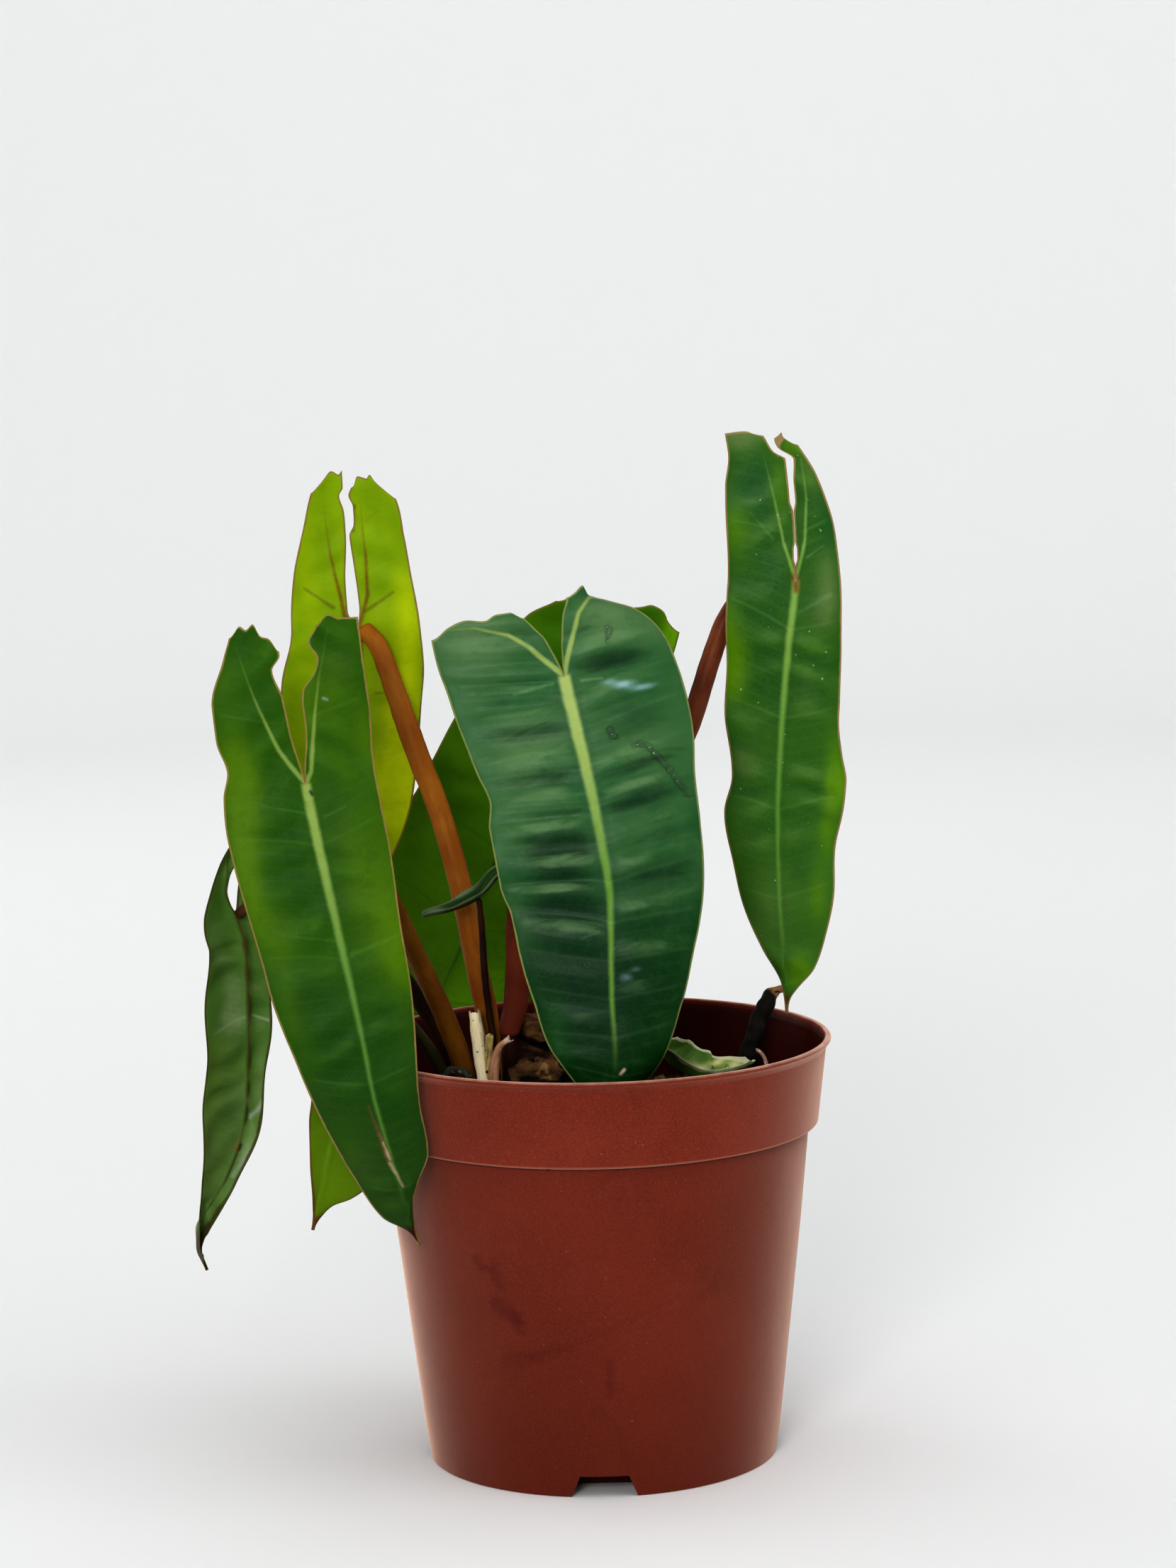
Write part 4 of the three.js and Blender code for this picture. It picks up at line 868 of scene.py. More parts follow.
def blade_grid(blade, side):
    """The (u, s, q) grid of one half: the rows of its lobe, from the lobe's end down
    to the joint, then the rows of the blade down to the tip. q is 0 at the slit or
    midrib and 1 at the margin, with its columns closer together toward both."""
    leaf = blade.leaf
    sign = -1 if side == "left" else 1
    lobe_rows, rows = leaf["rows"]
    t = np.linspace(0, 1, leaf["cells"] + 1)
    q = (t - CROWDING * np.sin(TAU * t))[None, :]
    outer = blade.left if side == "left" else blade.right
    inner, top = through(leaf["slit_" + side]), through(leaf["top_" + side])
    down = (1 - np.arange(lobe_rows) / lobe_rows)[:, None]
    u_lobe = -top(q) * down
    s_lobe = sign * (inner(u_lobe) + (outer(u_lobe) - inner(u_lobe)) * q)
    u_main = blade.end * (np.arange(rows + 1) / rows)[:, None] ** 0.95 + 0 * q
    s_main = sign * outer(u_main) * q
    u, s = np.vstack([u_lobe, u_main]), np.vstack([s_lobe, s_main])
    return u, s, np.broadcast_to(q, u.shape)


def edge_distance(blade, side, u, s, q):
    """About how many mm a place lies from the blade's margin: the nearest of the outer
    margin, the lobe's inner edge, the lobe's end and the tip."""
    leaf = blade.leaf
    outer = blade.left if side == "left" else blade.right
    inner, top = through(leaf["slit_" + side]), through(leaf["top_" + side])
    lean = np.abs(outer(u + 0.5) - outer(u - 0.5))
    to_outer = (outer(u) - np.abs(s)) / np.sqrt(1 + lean ** 2)
    sign = -1 if side == "left" else 1
    to_inner = np.where(u < 0, sign * s - inner(u), np.hypot(s, u))
    to_top = np.where(u < 0, top(q) + u, 99)
    return np.minimum(np.minimum(to_outer, to_inner), np.minimum(to_top, blade.end - u + 1))


def patch_field(blade, kind, u, s):
    """Sum of the leaf's soft patches of one kind, each a bell of its half sizes."""
    total = np.zeros(u.shape)
    for pu, ps, size_u, size_s, amount in blade.leaf.get("patches", {}).get(kind, ()):
        total += amount * np.exp(-(((u - pu) / size_u) ** 2 + ((s - ps) / size_s) ** 2))
    return total


def leaf_relief(blade, u, s, lobe, run, face_sign):
    """How far the skin stands off its even thickness, in mm: a round midrib and lobe
    ribs on the ribbed side, which sink to a shallow channel on the other."""
    height, rib_side = blade.leaf["rib"]
    fade = np.clip(1 - u / (MIDRIB_SHARE * blade.end), 0, 1)
    wide = 0.55 + 1.1 * fade
    middle = np.exp(-(s / wide) ** 2) * fade * ease(u, -2, 0.5)
    lobe_fade = np.clip(1 - run / LOBE_RIB_LONG, 0, 1)
    lobes = np.exp(-(lobe / (0.35 + 0.75 * lobe_fade)) ** 2) * lobe_fade * ease(-u, -1.5, 1)
    ribs = np.maximum(middle, 0.7 * lobes)
    return np.where(face_sign == rib_side, 0.85 * height * ribs, 0.12 * height * ribs)


def leaf_mesh(name, leaf):
    """Both faces of a blade, joined along the midrib, with walls at its edges. Each
    point keeps (u, s, mm from the margin), its place by the lobe ribs and whether it
    is on the ribbed side, its patches of painted glow, painted shade and pale skin
    with painted sheen, where the painted light on its folds lies, its patches of the
    sky's painted reflection, and its share of the way to the tip."""
    blade = Blade(leaf)
    points, faces, keep = [], [], {"blade": [], "lobe": [], "tint": [], "fold": []}
    count = 0
    lobe_rows = leaf["rows"][0]
    index = {}
    for side, sign, rib in (("left", -1, 0), ("right", 1, 1)):
        u, s, q = blade_grid(blade, side)
        edge = edge_distance(blade, side, u, s, q)
        lobe, run = polyline_distance(u, s, leaf["lobe_ribs"][rib])
        normal = blade.normal(u, s, sign)
        middle = blade.place(u, s)
        thin = HALF_THICK * (1 - MARGIN_THIN * np.exp(-np.maximum(edge, 0) / MARGIN_REACH))
        # where the painted light and shade of the folds lie: the pleats shifted by LIGHT_SHIFT
        crest = blade.pleats(u, s, LIGHT_SHIFT) / max(leaf["pleat"][0], 0.1)
        for face_sign in (1, -1):
            off = face_sign * (thin + leaf_relief(blade, u, s, lobe, run, face_sign))
            points.append((middle + normal * off[..., None]).reshape(-1, 3))
            under = np.full(u.shape, 1.0 if face_sign == leaf["rib"][1] else 0.0)
            keep["blade"].append(np.stack([u, s, edge], -1).reshape(-1, 3))
            keep["lobe"].append(np.stack([lobe, run, under], -1).reshape(-1, 3))
            tint = [patch_field(blade, kind, u, s) for kind in ("painted_glow", "shade", "pale")]
            keep["tint"].append(np.stack(tint, -1).reshape(-1, 3))
            sky = patch_field(blade, "sky", u, s)
            keep["fold"].append(np.stack([crest, sky, u / blade.end], -1).reshape(-1, 3))
            grid = np.arange(count, count + u.size).reshape(u.shape)
            count += u.size
            if side == "right":
                grid[lobe_rows:, 0] = index["left", face_sign][lobe_rows:, 0]
            index[side, face_sign] = grid
            turned = grid if sign * face_sign < 0 else grid[:, ::-1]
            faces.append(grid_faces(turned))
    for side, sign in (("left", -1), ("right", 1)):
        front, back = index[side, 1], index[side, -1]
        ring = [front[:lobe_rows + 1, 0][::-1], front[0, 1:], front[1:, -1], front[-1, -2::-1]]
        under = [back[:lobe_rows + 1, 0][::-1], back[0, 1:], back[1:, -1], back[-1, -2::-1]]
        ring, under = np.concatenate(ring), np.concatenate(under)
        wall = np.stack([ring, under]) if sign > 0 else np.stack([under, ring])
        faces.append(grid_faces(wall))
    points, faces = np.concatenate(points), np.concatenate(faces)
    attributes = {key: np.concatenate(values) for key, values in keep.items()}
    return make_piece(name + "_blade", points, faces, attributes)


# how each leaf's skin looks
#   main, deep, low      its two mottled colours, and the one toward the tip, which on
#                        the front blade paints the shade of its lower part
#   light, fold_light_share  colour of the painted light on the up-facing sides of
#                        its folds, and how much of it, and of the painted shade
#                        between them, shows
#   painted_glow, shade, pale  colours of its patches of painted glow, painted shade
#                        and pale skin with painted sheen, and sky, the colour of its
#                        painted reflection of the sky
#   rib, rib_low         midrib at the joint and lower down, and rib_wide, its half
#                        widths there
#   vein, veins          side veins: colour, and their spacing, slant and strength
#   margin, edge         colour and width of the line along the margin
#   under                a lighter colour of the ribbed side, painted light on its
#                        shaded underside
#   tip                  where the tip begins and its colour
#   dust, rough, shine   pale specks, roughness and gloss
PLAIN_LOOK = dict(dust=0.0, shine=0.12, edge=0.25)
LEAF_LOOKS = {
    "leaf_front_left": dict(
        main="355e01", deep="285306", low="2d4c1a", shade="1d480c", light="4e791a",
        painted_glow="557601", pale="5a7034", rib="889d53", rib_low="5f833d", vein="5a8c30",
        margin="978053", rib_wide=(1.2, 0.3), veins=(30, -0.25, 0.15), fold_light_share=0.2,
        rough=0.5, tip=(115.5, "3c1a10")),
    "leaf_back_left": dict(
        main="8fa900", deep="7c9c02", low="a4b500", shade="739303", light="9bb506",
        painted_glow="c5d400", pale="a2bb25", rib="74401a", rib_low="8a9214", vein="94ac10",
        margin="8a7440", rib_wide=(1.2, 0.5), veins=(24, -0.3, 0.25), fold_light_share=0.1,
        rough=0.55, tip=(84, "6a5a1c")),
    "leaf_far_left": dict(
        main="63843f", deep="527632", low="678447", shade="43632f", light="889d6a",
        painted_glow="789936", pale="97a87e", rib="5c4c28", rib_low="4c3c20", vein="527040",
        margin="4c4426", rib_wide=(0.5, 0.2), veins=(12, -0.3, 0.3), fold_light_share=0.4,
        rough=0.45, tip=(86, "4a3420")),
    "leaf_low_left": dict(
        main="617c04", deep="4d6f03", low="638004", shade="3e6505", light="718e1d",
        painted_glow="7f9804", pale="7f983e", rib="6a8a22", rib_low="6a8a22", vein="5c880c",
        margin="6a4a2c", rib_wide=(0.6, 0.25), veins=(14, -0.3, 0.3), fold_light_share=0.1,
        rough=0.5, tip=(58, "6a3c20")),
    "leaf_centre_front": dict(
        main="3e663c", deep="2e5f34", low="033809", shade="072f18", light="69885d",
        painted_glow="1c4f18", pale="6b865b", rib="9bac63", rib_low="668b36", vein="7a9a74",
        margin="898d58", rib_wide=(1.5, 0.5), veins=(9.5, -0.15, 0.07), fold_light_share=0.68,
        sky="9fbfc6", rough=0.42, shine=0.16, tip=(200, "1d5430")),
    "leaf_right": dict(
        main="3d681e", deep="2e5d1e", low="437024", shade="2c5b30", light="63883c",
        painted_glow="628b04", pale="788b55", rib="85a554", rib_low="6c9642", vein="6a9c54",
        margin="9b825b", rib_wide=(0.9, 0.35), veins=(24, -0.3, 0.22), fold_light_share=0.3,
        dust=0.7, rough=0.42, tip=(110, "54441c")),
    "leaf_centre_back": dict(
        main="577f04", deep="437204", low="5b8804", shade="3c6503", light="648e06",
        painted_glow="77b105", pale="739e27", rib="3a5a0e", rib_low="3a5a0e", vein="3c640a",
        margin="7a7434", rib_wide=(0.7, 0.3), veins=(24, -0.3, 0.3), fold_light_share=0.1,
        rough=0.55, tip=(200, "446a0c")),
    "leaf_small": dict(
        main="2c4a20", deep="203c18", low="2c4a20", shade="1a3016", light="5a7058",
        painted_glow="8a9a84", pale="8a9a84", rib="3a5a2c", rib_low="3a5a2c", vein="2c4a22",
        margin="6c7a58", rib_wide=(0.35, 0.2), veins=(6, -0.3, 0.2), fold_light_share=0.1,
        rough=0.4, tip=(200, "2c4a20")),
    "leaf_curled": dict(
        main="62833e", deep="4b6d2e", low="7d964c", shade="33521f", light="cecf8b",
        under="689239", painted_glow="e4d4a2", pale="f4e7b2", rib="8ca870", rib_low="84a870", vein="678f4c",
        margin="d4d4b4", edge=0.4, rib_wide=(0.35, 0.2), veins=(6, -0.3, 0.3), fold_light_share=0.1,
        rough=0.4, tip=(200, "5a8a48")),
}


def leaf_material(name, look):
    """Skin of a leaf, from its own (u, s) coordinates: mottled between a main and a deep
    colour that shift toward the tip, which on the front blade paints the shade of its
    lower part; painted light on the up-facing sides of its pleats and painted shade
    between them; patches of painted glow, painted shade, pale skin with painted sheen
    and the sky's painted reflection; a painted shade in the groove beside the midrib
    and, on the curled leaf, painted light on its shaded underside; with a midrib, lobe
    ribs, side veins, a net of small veins, scars as strokes and a fine margin line."""
    shader = Shader(name)
    along, across, edge = shader.parts(shader.attribute("blade"))
    lobe, run, under = shader.parts(shader.attribute("lobe"))
    painted_glow, shade, pale = shader.parts(shader.attribute("tint"))
    crest, sky, share = shader.parts(shader.attribute("fold"))
    plane = shader.vector(along, across)
    way = abs(across)
    end = Blade(LEAVES[name]).end

    broad = shader.noise(plane, 18, 4, 0.6)
    fine = shader.noise(plane, 3.2, 5, 0.65)
    uneven = fine - 0.5
    shader.start(shader.ease(broad, 0.35, 0.68), look["main"], look["deep"])
    # toward the tip the low colour, which on the front blade paints the shade of its lower part
    lower = share + (broad - 0.5) * 0.5
    shader.lay(shader.ease(lower, 0.25, 0.8), look["low"])

    def patch(field, tone, most):
        torn = field + uneven * field * 1.2
        shader.lay(shader.ease(torn, 0.02, 1.05, 0, most), tone)

    # patches of painted shade, of pale skin with painted sheen, and of painted glow where light
    # shines through the blade
    patch(shade, look["shade"], 0.85)
    patch(pale, look["pale"], 0.75)
    patch(painted_glow, look["painted_glow"], 0.95)
    # painted light on the up-facing sides of the folds and painted shade between them,
    # broken up by wisps that run across the blade
    wisp = shader.noise(shader.stretch(plane, (1, 0.28, 1)), 4.2, 4, 0.55, 0.8)
    wisp = (wisp - 0.5) * 2.6
    fold_light_amount = shader.ease(share, 0.45, 0.75, look["fold_light_share"], 0.4 * look["fold_light_share"])
    raised = shader.ease(crest + wisp, 0.25, 1.5)
    shader.lay(raised * fold_light_amount, look["light"])
    fold_shade = shader.ease(wisp - crest, 0.2, 1.5)
    shader.lay(fold_shade * fold_light_amount, look["shade"])
    shader.lay(shader.ease(fine, 0.45, 0.8, 0, 0.3), look["deep"])
    # patches of the sky's painted reflection
    patch(sky, look.get("sky", look["pale"]), 0.9)

    # side veins leave the midrib at even steps and slant toward the lobes
    step, slant, strength = look["veins"]
    sway = (shader.noise(plane, 30, 1) - 0.5) * 0.2
    phase = (along - way * slant) * (1 / step) + sway
    gap = abs(shader.maths("FRACT", phase) - 0.5) * step
    side_vein = shader.ease(gap, 0.0, 0.9, 1, 0)
    # finer ones run between them, nearly parallel
    many = phase * round(step / 3.3)
    thin = abs(shader.maths("FRACT", many) - 0.5) * 3.3
    thin_vein = shader.ease(thin, 0.0, 0.7, 0.4, 0)
    net = shader.ease(shader.cells(plane, 1.5), 0.02, 0.14, 0.3, 0)
    patchy = shader.ease(edge, 0.3, 4) * shader.ease(broad, 0.25, 0.6, 0.4, 1)
    veins = shader.most(side_vein, shader.most(thin_vein, net)) * patchy
    shader.lay(veins * strength, look["vein"])

    # the midrib tapers to the tip, and each lobe has a rib of its own
    wide, narrow = look["rib_wide"]
    half = shader.ease(along, 0, 0.8 * end, wide, narrow)
    middle = way - half + uneven * 0.5
    middle = shader.ease(middle, -0.7, 0.6, 1, 0)
    middle = middle * shader.ease(along, -1.0, 0.5)
    middle = middle * shader.ease(along, 0.72 * end, 0.93 * end, 1, 0)
    lobe_half = shader.ease(run, 0, LOBE_RIB_LONG, 0.45 * wide, 0.12)
    lobe_rib = abs(lobe) - lobe_half
    lobe_rib = shader.ease(lobe_rib + uneven * 0.5, -0.4, 0.4, 0.8, 0)
    lobe_rib = lobe_rib * shader.ease(along, -0.5, 0.8, 1, 0)
    lobe_rib = lobe_rib * shader.ease(run, 14, 38, 1, 0.1)
    # a painted shade in the groove just beside the midrib
    groove_shade = shader.ease(abs(way - (half + 0.9)), 0, 1.2, 0.12, 0)
    groove_shade = groove_shade * shader.ease(along, 0, 3)
    shader.lay(groove_shade, look["shade"])
    rib = shader.mix(shader.ease(share, 0.05, 0.5), colour(look["rib"]), colour(look["rib_low"]))
    rib = shader.mix(shader.ease(fine, 0.4, 0.8, 0, 0.3), rib, colour(look["vein"]))
    shader.lay(shader.most(middle, lobe_rib), rib)

    # scars, spots and single veins, each a straight stroke with a ragged edge
    for u0, s0, u1, s1, half0, half1, code, most in LEAVES[name].get("strokes", ()):
        away, t = shader.stroke(plane, (u0, s0), (u1, s1))
        reach = shader.ease(t, 0, 1, half0, half1)
        ragged = uneven * (0.5 + 1.4 * max(half0, half1))
        away = away + ragged - reach
        soft = 0.3 + 0.6 * max(half0, half1)
        shader.lay(shader.ease(away, -soft, soft, most, 0), code)
    specks = shader.ease(shader.noise(plane, 1.5, 1), 0.75, 0.8)
    shader.lay(specks * look["dust"], "a8c0a0")
    from_tip, code = look["tip"]
    shader.lay(shader.ease(along, from_tip - 1, from_tip + 2), code)
    rim = edge + uneven * 0.5
    rim = shader.ease(rim, look["edge"], look["edge"] + 0.35, 0.9, 0)
    shader.lay(rim, look["margin"])

    # on the curled leaf a lighter colour on the ribbed side paints light into its shaded underside
    if "under" in look:
        shader.lay(under * shader.ease(edge, 0.3, 0.6), look["under"])

    height = fine * 0.5 - veins * 0.6
    normal = shader.bump(height, 0.15, 0.6)
    rough = uneven * 0.3 + look["rough"]
    return shader.finish(rough, normal, specular=look["shine"])


def make_leaf(name):
    """One leaf's blade, which takes the place of its solid."""
    material = leaf_material(name, {**PLAIN_LOOK, **LEAF_LOOKS[name]})
    settle(leaf_mesh(name, LEAVES[name]), name, LEAVES[name]["slot"], material)


# Petioles and other rods: points in mm from the foot up, radii at even steps or as
# (mm along, radius), three colours, and at the foot the strength of a tone of its own:
# a painted shade on most, a painted light on the back left one, a paler pink on the
# front one

PETIOLES = {
    "petiole_front_left": dict(
        points=[
            (-33.5, -2, 86), (-34, -2, 101), (-38, -4, 114.5), (-44.5, -8.5, 131),
            (-52, -18, 151), (-61, -29, 167.5), (-69, -41, 180)],
        radii=[2.9, 2.7, 2.5, 2.3, 2], slot="petiole_brown",
        main="82500e", deep="553107", light="9b6a1a", foot=0.5),
    "petiole_back_left": dict(
        points=[
            (-27, 1, 86), (-27.3, 1, 112), (-29.8, 0, 127), (-33.2, 0, 147), (-38.5, 2, 168),
            (-44, 3, 183.5), (-49.2, 5.5, 199), (-53.2, 9.5, 209.8), (-57.4, 13.5, 214.7)],
        radii=[3, 2.9, 2.9, 2.9, 2.4], slot="petiole_orange",
        main="8d520c", deep="733a0a", light="a06719", foot=0.8, foot_light_and_shade="cc9436"),
    "petiole_far_left": dict(
        points=[
            (-34.5, 4.5, 86), (-36.5, 4.5, 102), (-43, 4, 115), (-53, 4, 129),
            (-67, 2, 142.5), (-80, -2, 147.5), (-88, -3.5, 145), (-91, -1, 142.5)],
        radii=[2.4, 2.3, 2.2, 2, 1.4], slot="petiole_brown",
        main="3a2416", deep="1e120a", light="5a3c26"),
    "petiole_low_left": dict(
        points=[
            (-38.5, 1, 86), (-39.5, 0.5, 99.5), (-45, -5, 111), (-52.5, -15, 121),
            (-59.2, -22.5, 125.5)],
        radii=[1.6, 1.5, 1.5, 1.3], slot="petiole_olive",
        main="55552a", deep="35341a", light="76784a"),
    "petiole_centre_front": dict(
        points=[
            (-21.9, -6, 109.8), (-21.7, -6.1, 112.5), (-20.2, -6.8, 117.5),
            (-19.3, -8.5, 126.3), (-19.5, -12, 140), (-15.5, -22, 172), (-9.5, -30.5, 196),
            (-5.7, -33.4, 204.3)],
        radii=[(0, 2.3), (1.5, 2.7), (3, 2.8), (8, 3.1), (16.5, 3.2), (25, 2.6), (34, 2.3),
               (75, 2.2), (96, 1.9), (101, 1.3)],
        slot="petiole_brown",
        main="612512", deep="3d1407", light="79391e", foot=0.5, foot_light_and_shade="7c4032"),
    "petiole_right": dict(
        points=[
            (-17, 6, 86), (-13.5, 7, 112), (-3, 9.5, 138), (10, 12, 160), (20, 13.5, 174.5),
            (26.5, 15.5, 187), (33, 18, 205.5), (37.5, 18.8, 216), (44, 17.8, 222.5),
            (50, 14.8, 225), (54.2, 11, 224.6)],
        radii=[2.8, 2.7, 2.7, 2.6, 2.1], slot="petiole_brown",
        main="5a2814", deep="3a180a", light="7c4424"),
    "petiole_centre_back": dict(
        points=[
            (-24, 9, 86), (-20, 11, 118), (-12.5, 19, 160), (-5.5, 32, 193),
            (-2.2, 39.2, 204.7)],
        radii=[2.4, 2.3, 2.2, 1.9], slot="petiole_brown",
        main="57301a", deep="341c0e", light="7a5030"),
    "petiole_small": dict(
        points=[
            (-24.8, -5.2, 86), (-25.5, -6.5, 104), (-27.5, -8, 124), (-28.1, -12, 141),
            (-28.5, -14, 147.5)],
        radii=[1, 0.9, 0.9, 0.8], slot="petiole_brown",
        main="2a1408", deep="180a04", light="46280f"),
    "petiole_curled": dict(
        points=[(8, 7, 84), (11, 8, 96), (16, 9, 102.5), (19.3, 9, 104.3)],
        radii=[1.3, 1.2, 1], slot="petiole_brown",
        main="4a3820", deep="2c2010", light="6c5636"),
}


def rod_parts(points, radii, rough, seed, sides=28, spacing=0.9, ridge=0.0):
    """A closed rod: rings of sides points round a smooth line, radii given at even
    steps or as (mm along it, radius), pulled in at both ends to a round cap; ridge
    adds low ridges along it and rough dents its skin. Each point keeps (mm along, and
    its place in the rod's section)."""
    line = Line(points)
    rings = max(8, int(line.end / spacing))
    u = np.linspace(0, line.end, rings)
    along = line.along(u)
    side = unit(np.cross(along, (0.0, 1.0, 0.0)))
    out = np.cross(side, along)
    if np.ndim(radii) == 1:
        radii = [(i * line.end / (len(radii) - 1), r) for i, r in enumerate(radii)]
    radius = through(radii)(u)
    radius = radius * round_off(u, line.end, END_ROUND * radius, 0.02)
    angle = np.linspace(0, TAU, sides, endpoint=False)[None, :]
    swell = 1 + ridge * np.cos(RIDGES * angle)
    ring = side[:, None] * (np.cos(angle) * swell)[..., None] \
        + out[:, None] * (np.sin(angle) * swell)[..., None]
    skin = line.place(u)[:, None] + ring * radius[:, None, None]
    dent = rough * ripple(skin, 4.0, seed) * np.minimum(radius, 1)[:, None]
    skin += ring * dent[..., None]
    count = rings * sides
    points_out = np.concatenate([skin.reshape(-1, 3), [line.place(0.0)], [line.place(line.end)]])
    index = np.arange(count).reshape(rings, sides)
    faces = grid_faces(index, closed=True).tolist()
    for row, middle in ((index[0], count), (index[-1], count + 1)):
        faces += [[middle, row[k], row[(k + 1) % sides]] for k in range(sides)]
    runs = np.broadcast_to(u[:, None], (rings, sides))
    turns = np.broadcast_to(angle, (rings, sides))
    coords = np.stack([runs, np.cos(turns) * radius[:, None], np.sin(turns) * radius[:, None]], -1)
    coords = np.concatenate([coords.reshape(-1, 3), [[0, 0, 0]], [[line.end, 0, 0]]])
    return points_out, faces, {"rod": coords}


def petiole_material(name, main, deep, light, foot, foot_light_and_shade):
    """Petiole skin: short streaks along it, speckles, and toward the foot a share of
    its foot tone, which paints shade at the foot of most petioles, light on the
    shaded foot of the back left one, and a paler pink on the front one."""
    shader = Shader(name)
    rod = shader.attribute("rod")
    along, _, _ = shader.parts(rod)
    streaks = shader.noise(shader.stretch(rod, (0.18, 1, 1)), 0.8, 4, 0.65)
    speckles = shader.noise(shader.stretch(rod, (0.55, 1, 1)), 0.35, 2, 0.6)
    broad = shader.noise(rod, 16, 2)
    shader.start(shader.ease(broad, 0.35, 0.7), main, light)
    shader.lay(shader.ease(streaks, 0.45, 0.7) * 0.35, deep)
    shader.lay(shader.ease(speckles, 0.55, 0.72) * 0.35, light)
    # toward the foot: painted shade on most petioles, painted light on the back left one
    shader.lay(shader.ease(along, 4, 36, foot, 0), foot_light_and_shade)
    normal = shader.bump(streaks, 0.12, 0.5)
    return shader.finish(shader.ease(streaks, 0.3, 0.7, 0.48, 0.6), normal, specular=0.22)


def make_petiole(name):
    """One petiole as a faintly ridged rod from its foot to its blade."""
    spec = PETIOLES[name]
    piece = make_piece(name + "_stalk", *rod_parts(
        spec["points"], spec["radii"], 0.05, len(name), ridge=0.012))
    material = petiole_material(
        name, spec["main"], spec["deep"], spec["light"], spec.get("foot", 0.85),
        spec.get("foot_light_and_shade", spec["deep"]))
    settle(piece, name, spec["slot"], material)


# The pot

def rounded(profile, radius, steps=4):
    """A profile of (r, z) corners with each inner corner replaced by a short arc."""
    corners = np.array(profile, float)
    rows = [corners[0]]
    for before, corner, after in zip(corners[:-2], corners[1:-1], corners[2:]):
        back, on = before - corner, after - corner
        reach = min(radius, 0.45 * np.hypot(*back), 0.45 * np.hypot(*on))
        a, b = corner + unit(back) * reach, corner + unit(on) * reach
        for t in np.linspace(0, 1, steps + 1):
            rows.append((1 - t) ** 2 * a + 2 * t * (1 - t) * corner + t ** 2 * b)
    rows.append(corners[-1])
    return np.array(rows)


def lathe(name, profile, sides=192):
    """The profile's (r, z) rows turned round the Z axis; rows with r = 0 close as
    poles."""
    profile = np.asarray(profile, float)
    angle = np.linspace(0, TAU, sides, endpoint=False)
    r, z = profile[:, 0][:, None], profile[:, 1][:, None]
    points = np.stack([r * np.cos(angle), r * np.sin(angle), z + 0 * angle], -1)
    return make_piece(name, *ring_grid(points))


def trapezoid_prism(foot, top, low, high, start, end):
    """Points and faces of a prism along +X whose end is a trapezoid, foot wide at z = low
    and top wide at z = high."""
    points = [(x, y, z) for x in (start, end)
              for y, z in ((-foot / 2, low), (foot / 2, low), (top / 2, high), (-top / 2, high))]
    faces = [(3, 2, 1, 0), (4, 5, 6, 7), (0, 1, 5, 4), (1, 2, 6, 5), (2, 3, 7, 6), (3, 0, 4, 7)]
    return np.array(points, float), faces


def turned_copies(points, faces):
    """The same points at each of the pot's four notches."""
    parts = []
    for turn in NOTCH_TURNS:
        c, s = math.cos(math.radians(turn)), math.sin(math.radians(turn))
        spin = np.array([[c, -s, 0], [s, c, 0], [0, 0, 1]])
        parts.append((points @ spin.T, faces, {}))
    return merge_attributes(parts)[:2]


def apply_boolean(piece, tool, kind):
    """Joins or cuts piece by tool for good, and removes the tool."""
    modifier = piece.modifiers.new(kind.lower(), "BOOLEAN")
    modifier.operation = kind
    modifier.solver = "EXACT"
    modifier.object = tool
    bpy.context.view_layer.update()
    shape = bpy.data.meshes.new_from_object(
        piece.evaluated_get(bpy.context.evaluated_depsgraph_get()))
    piece.modifiers.clear()
    piece.data = shape
    bpy.data.objects.remove(tool)


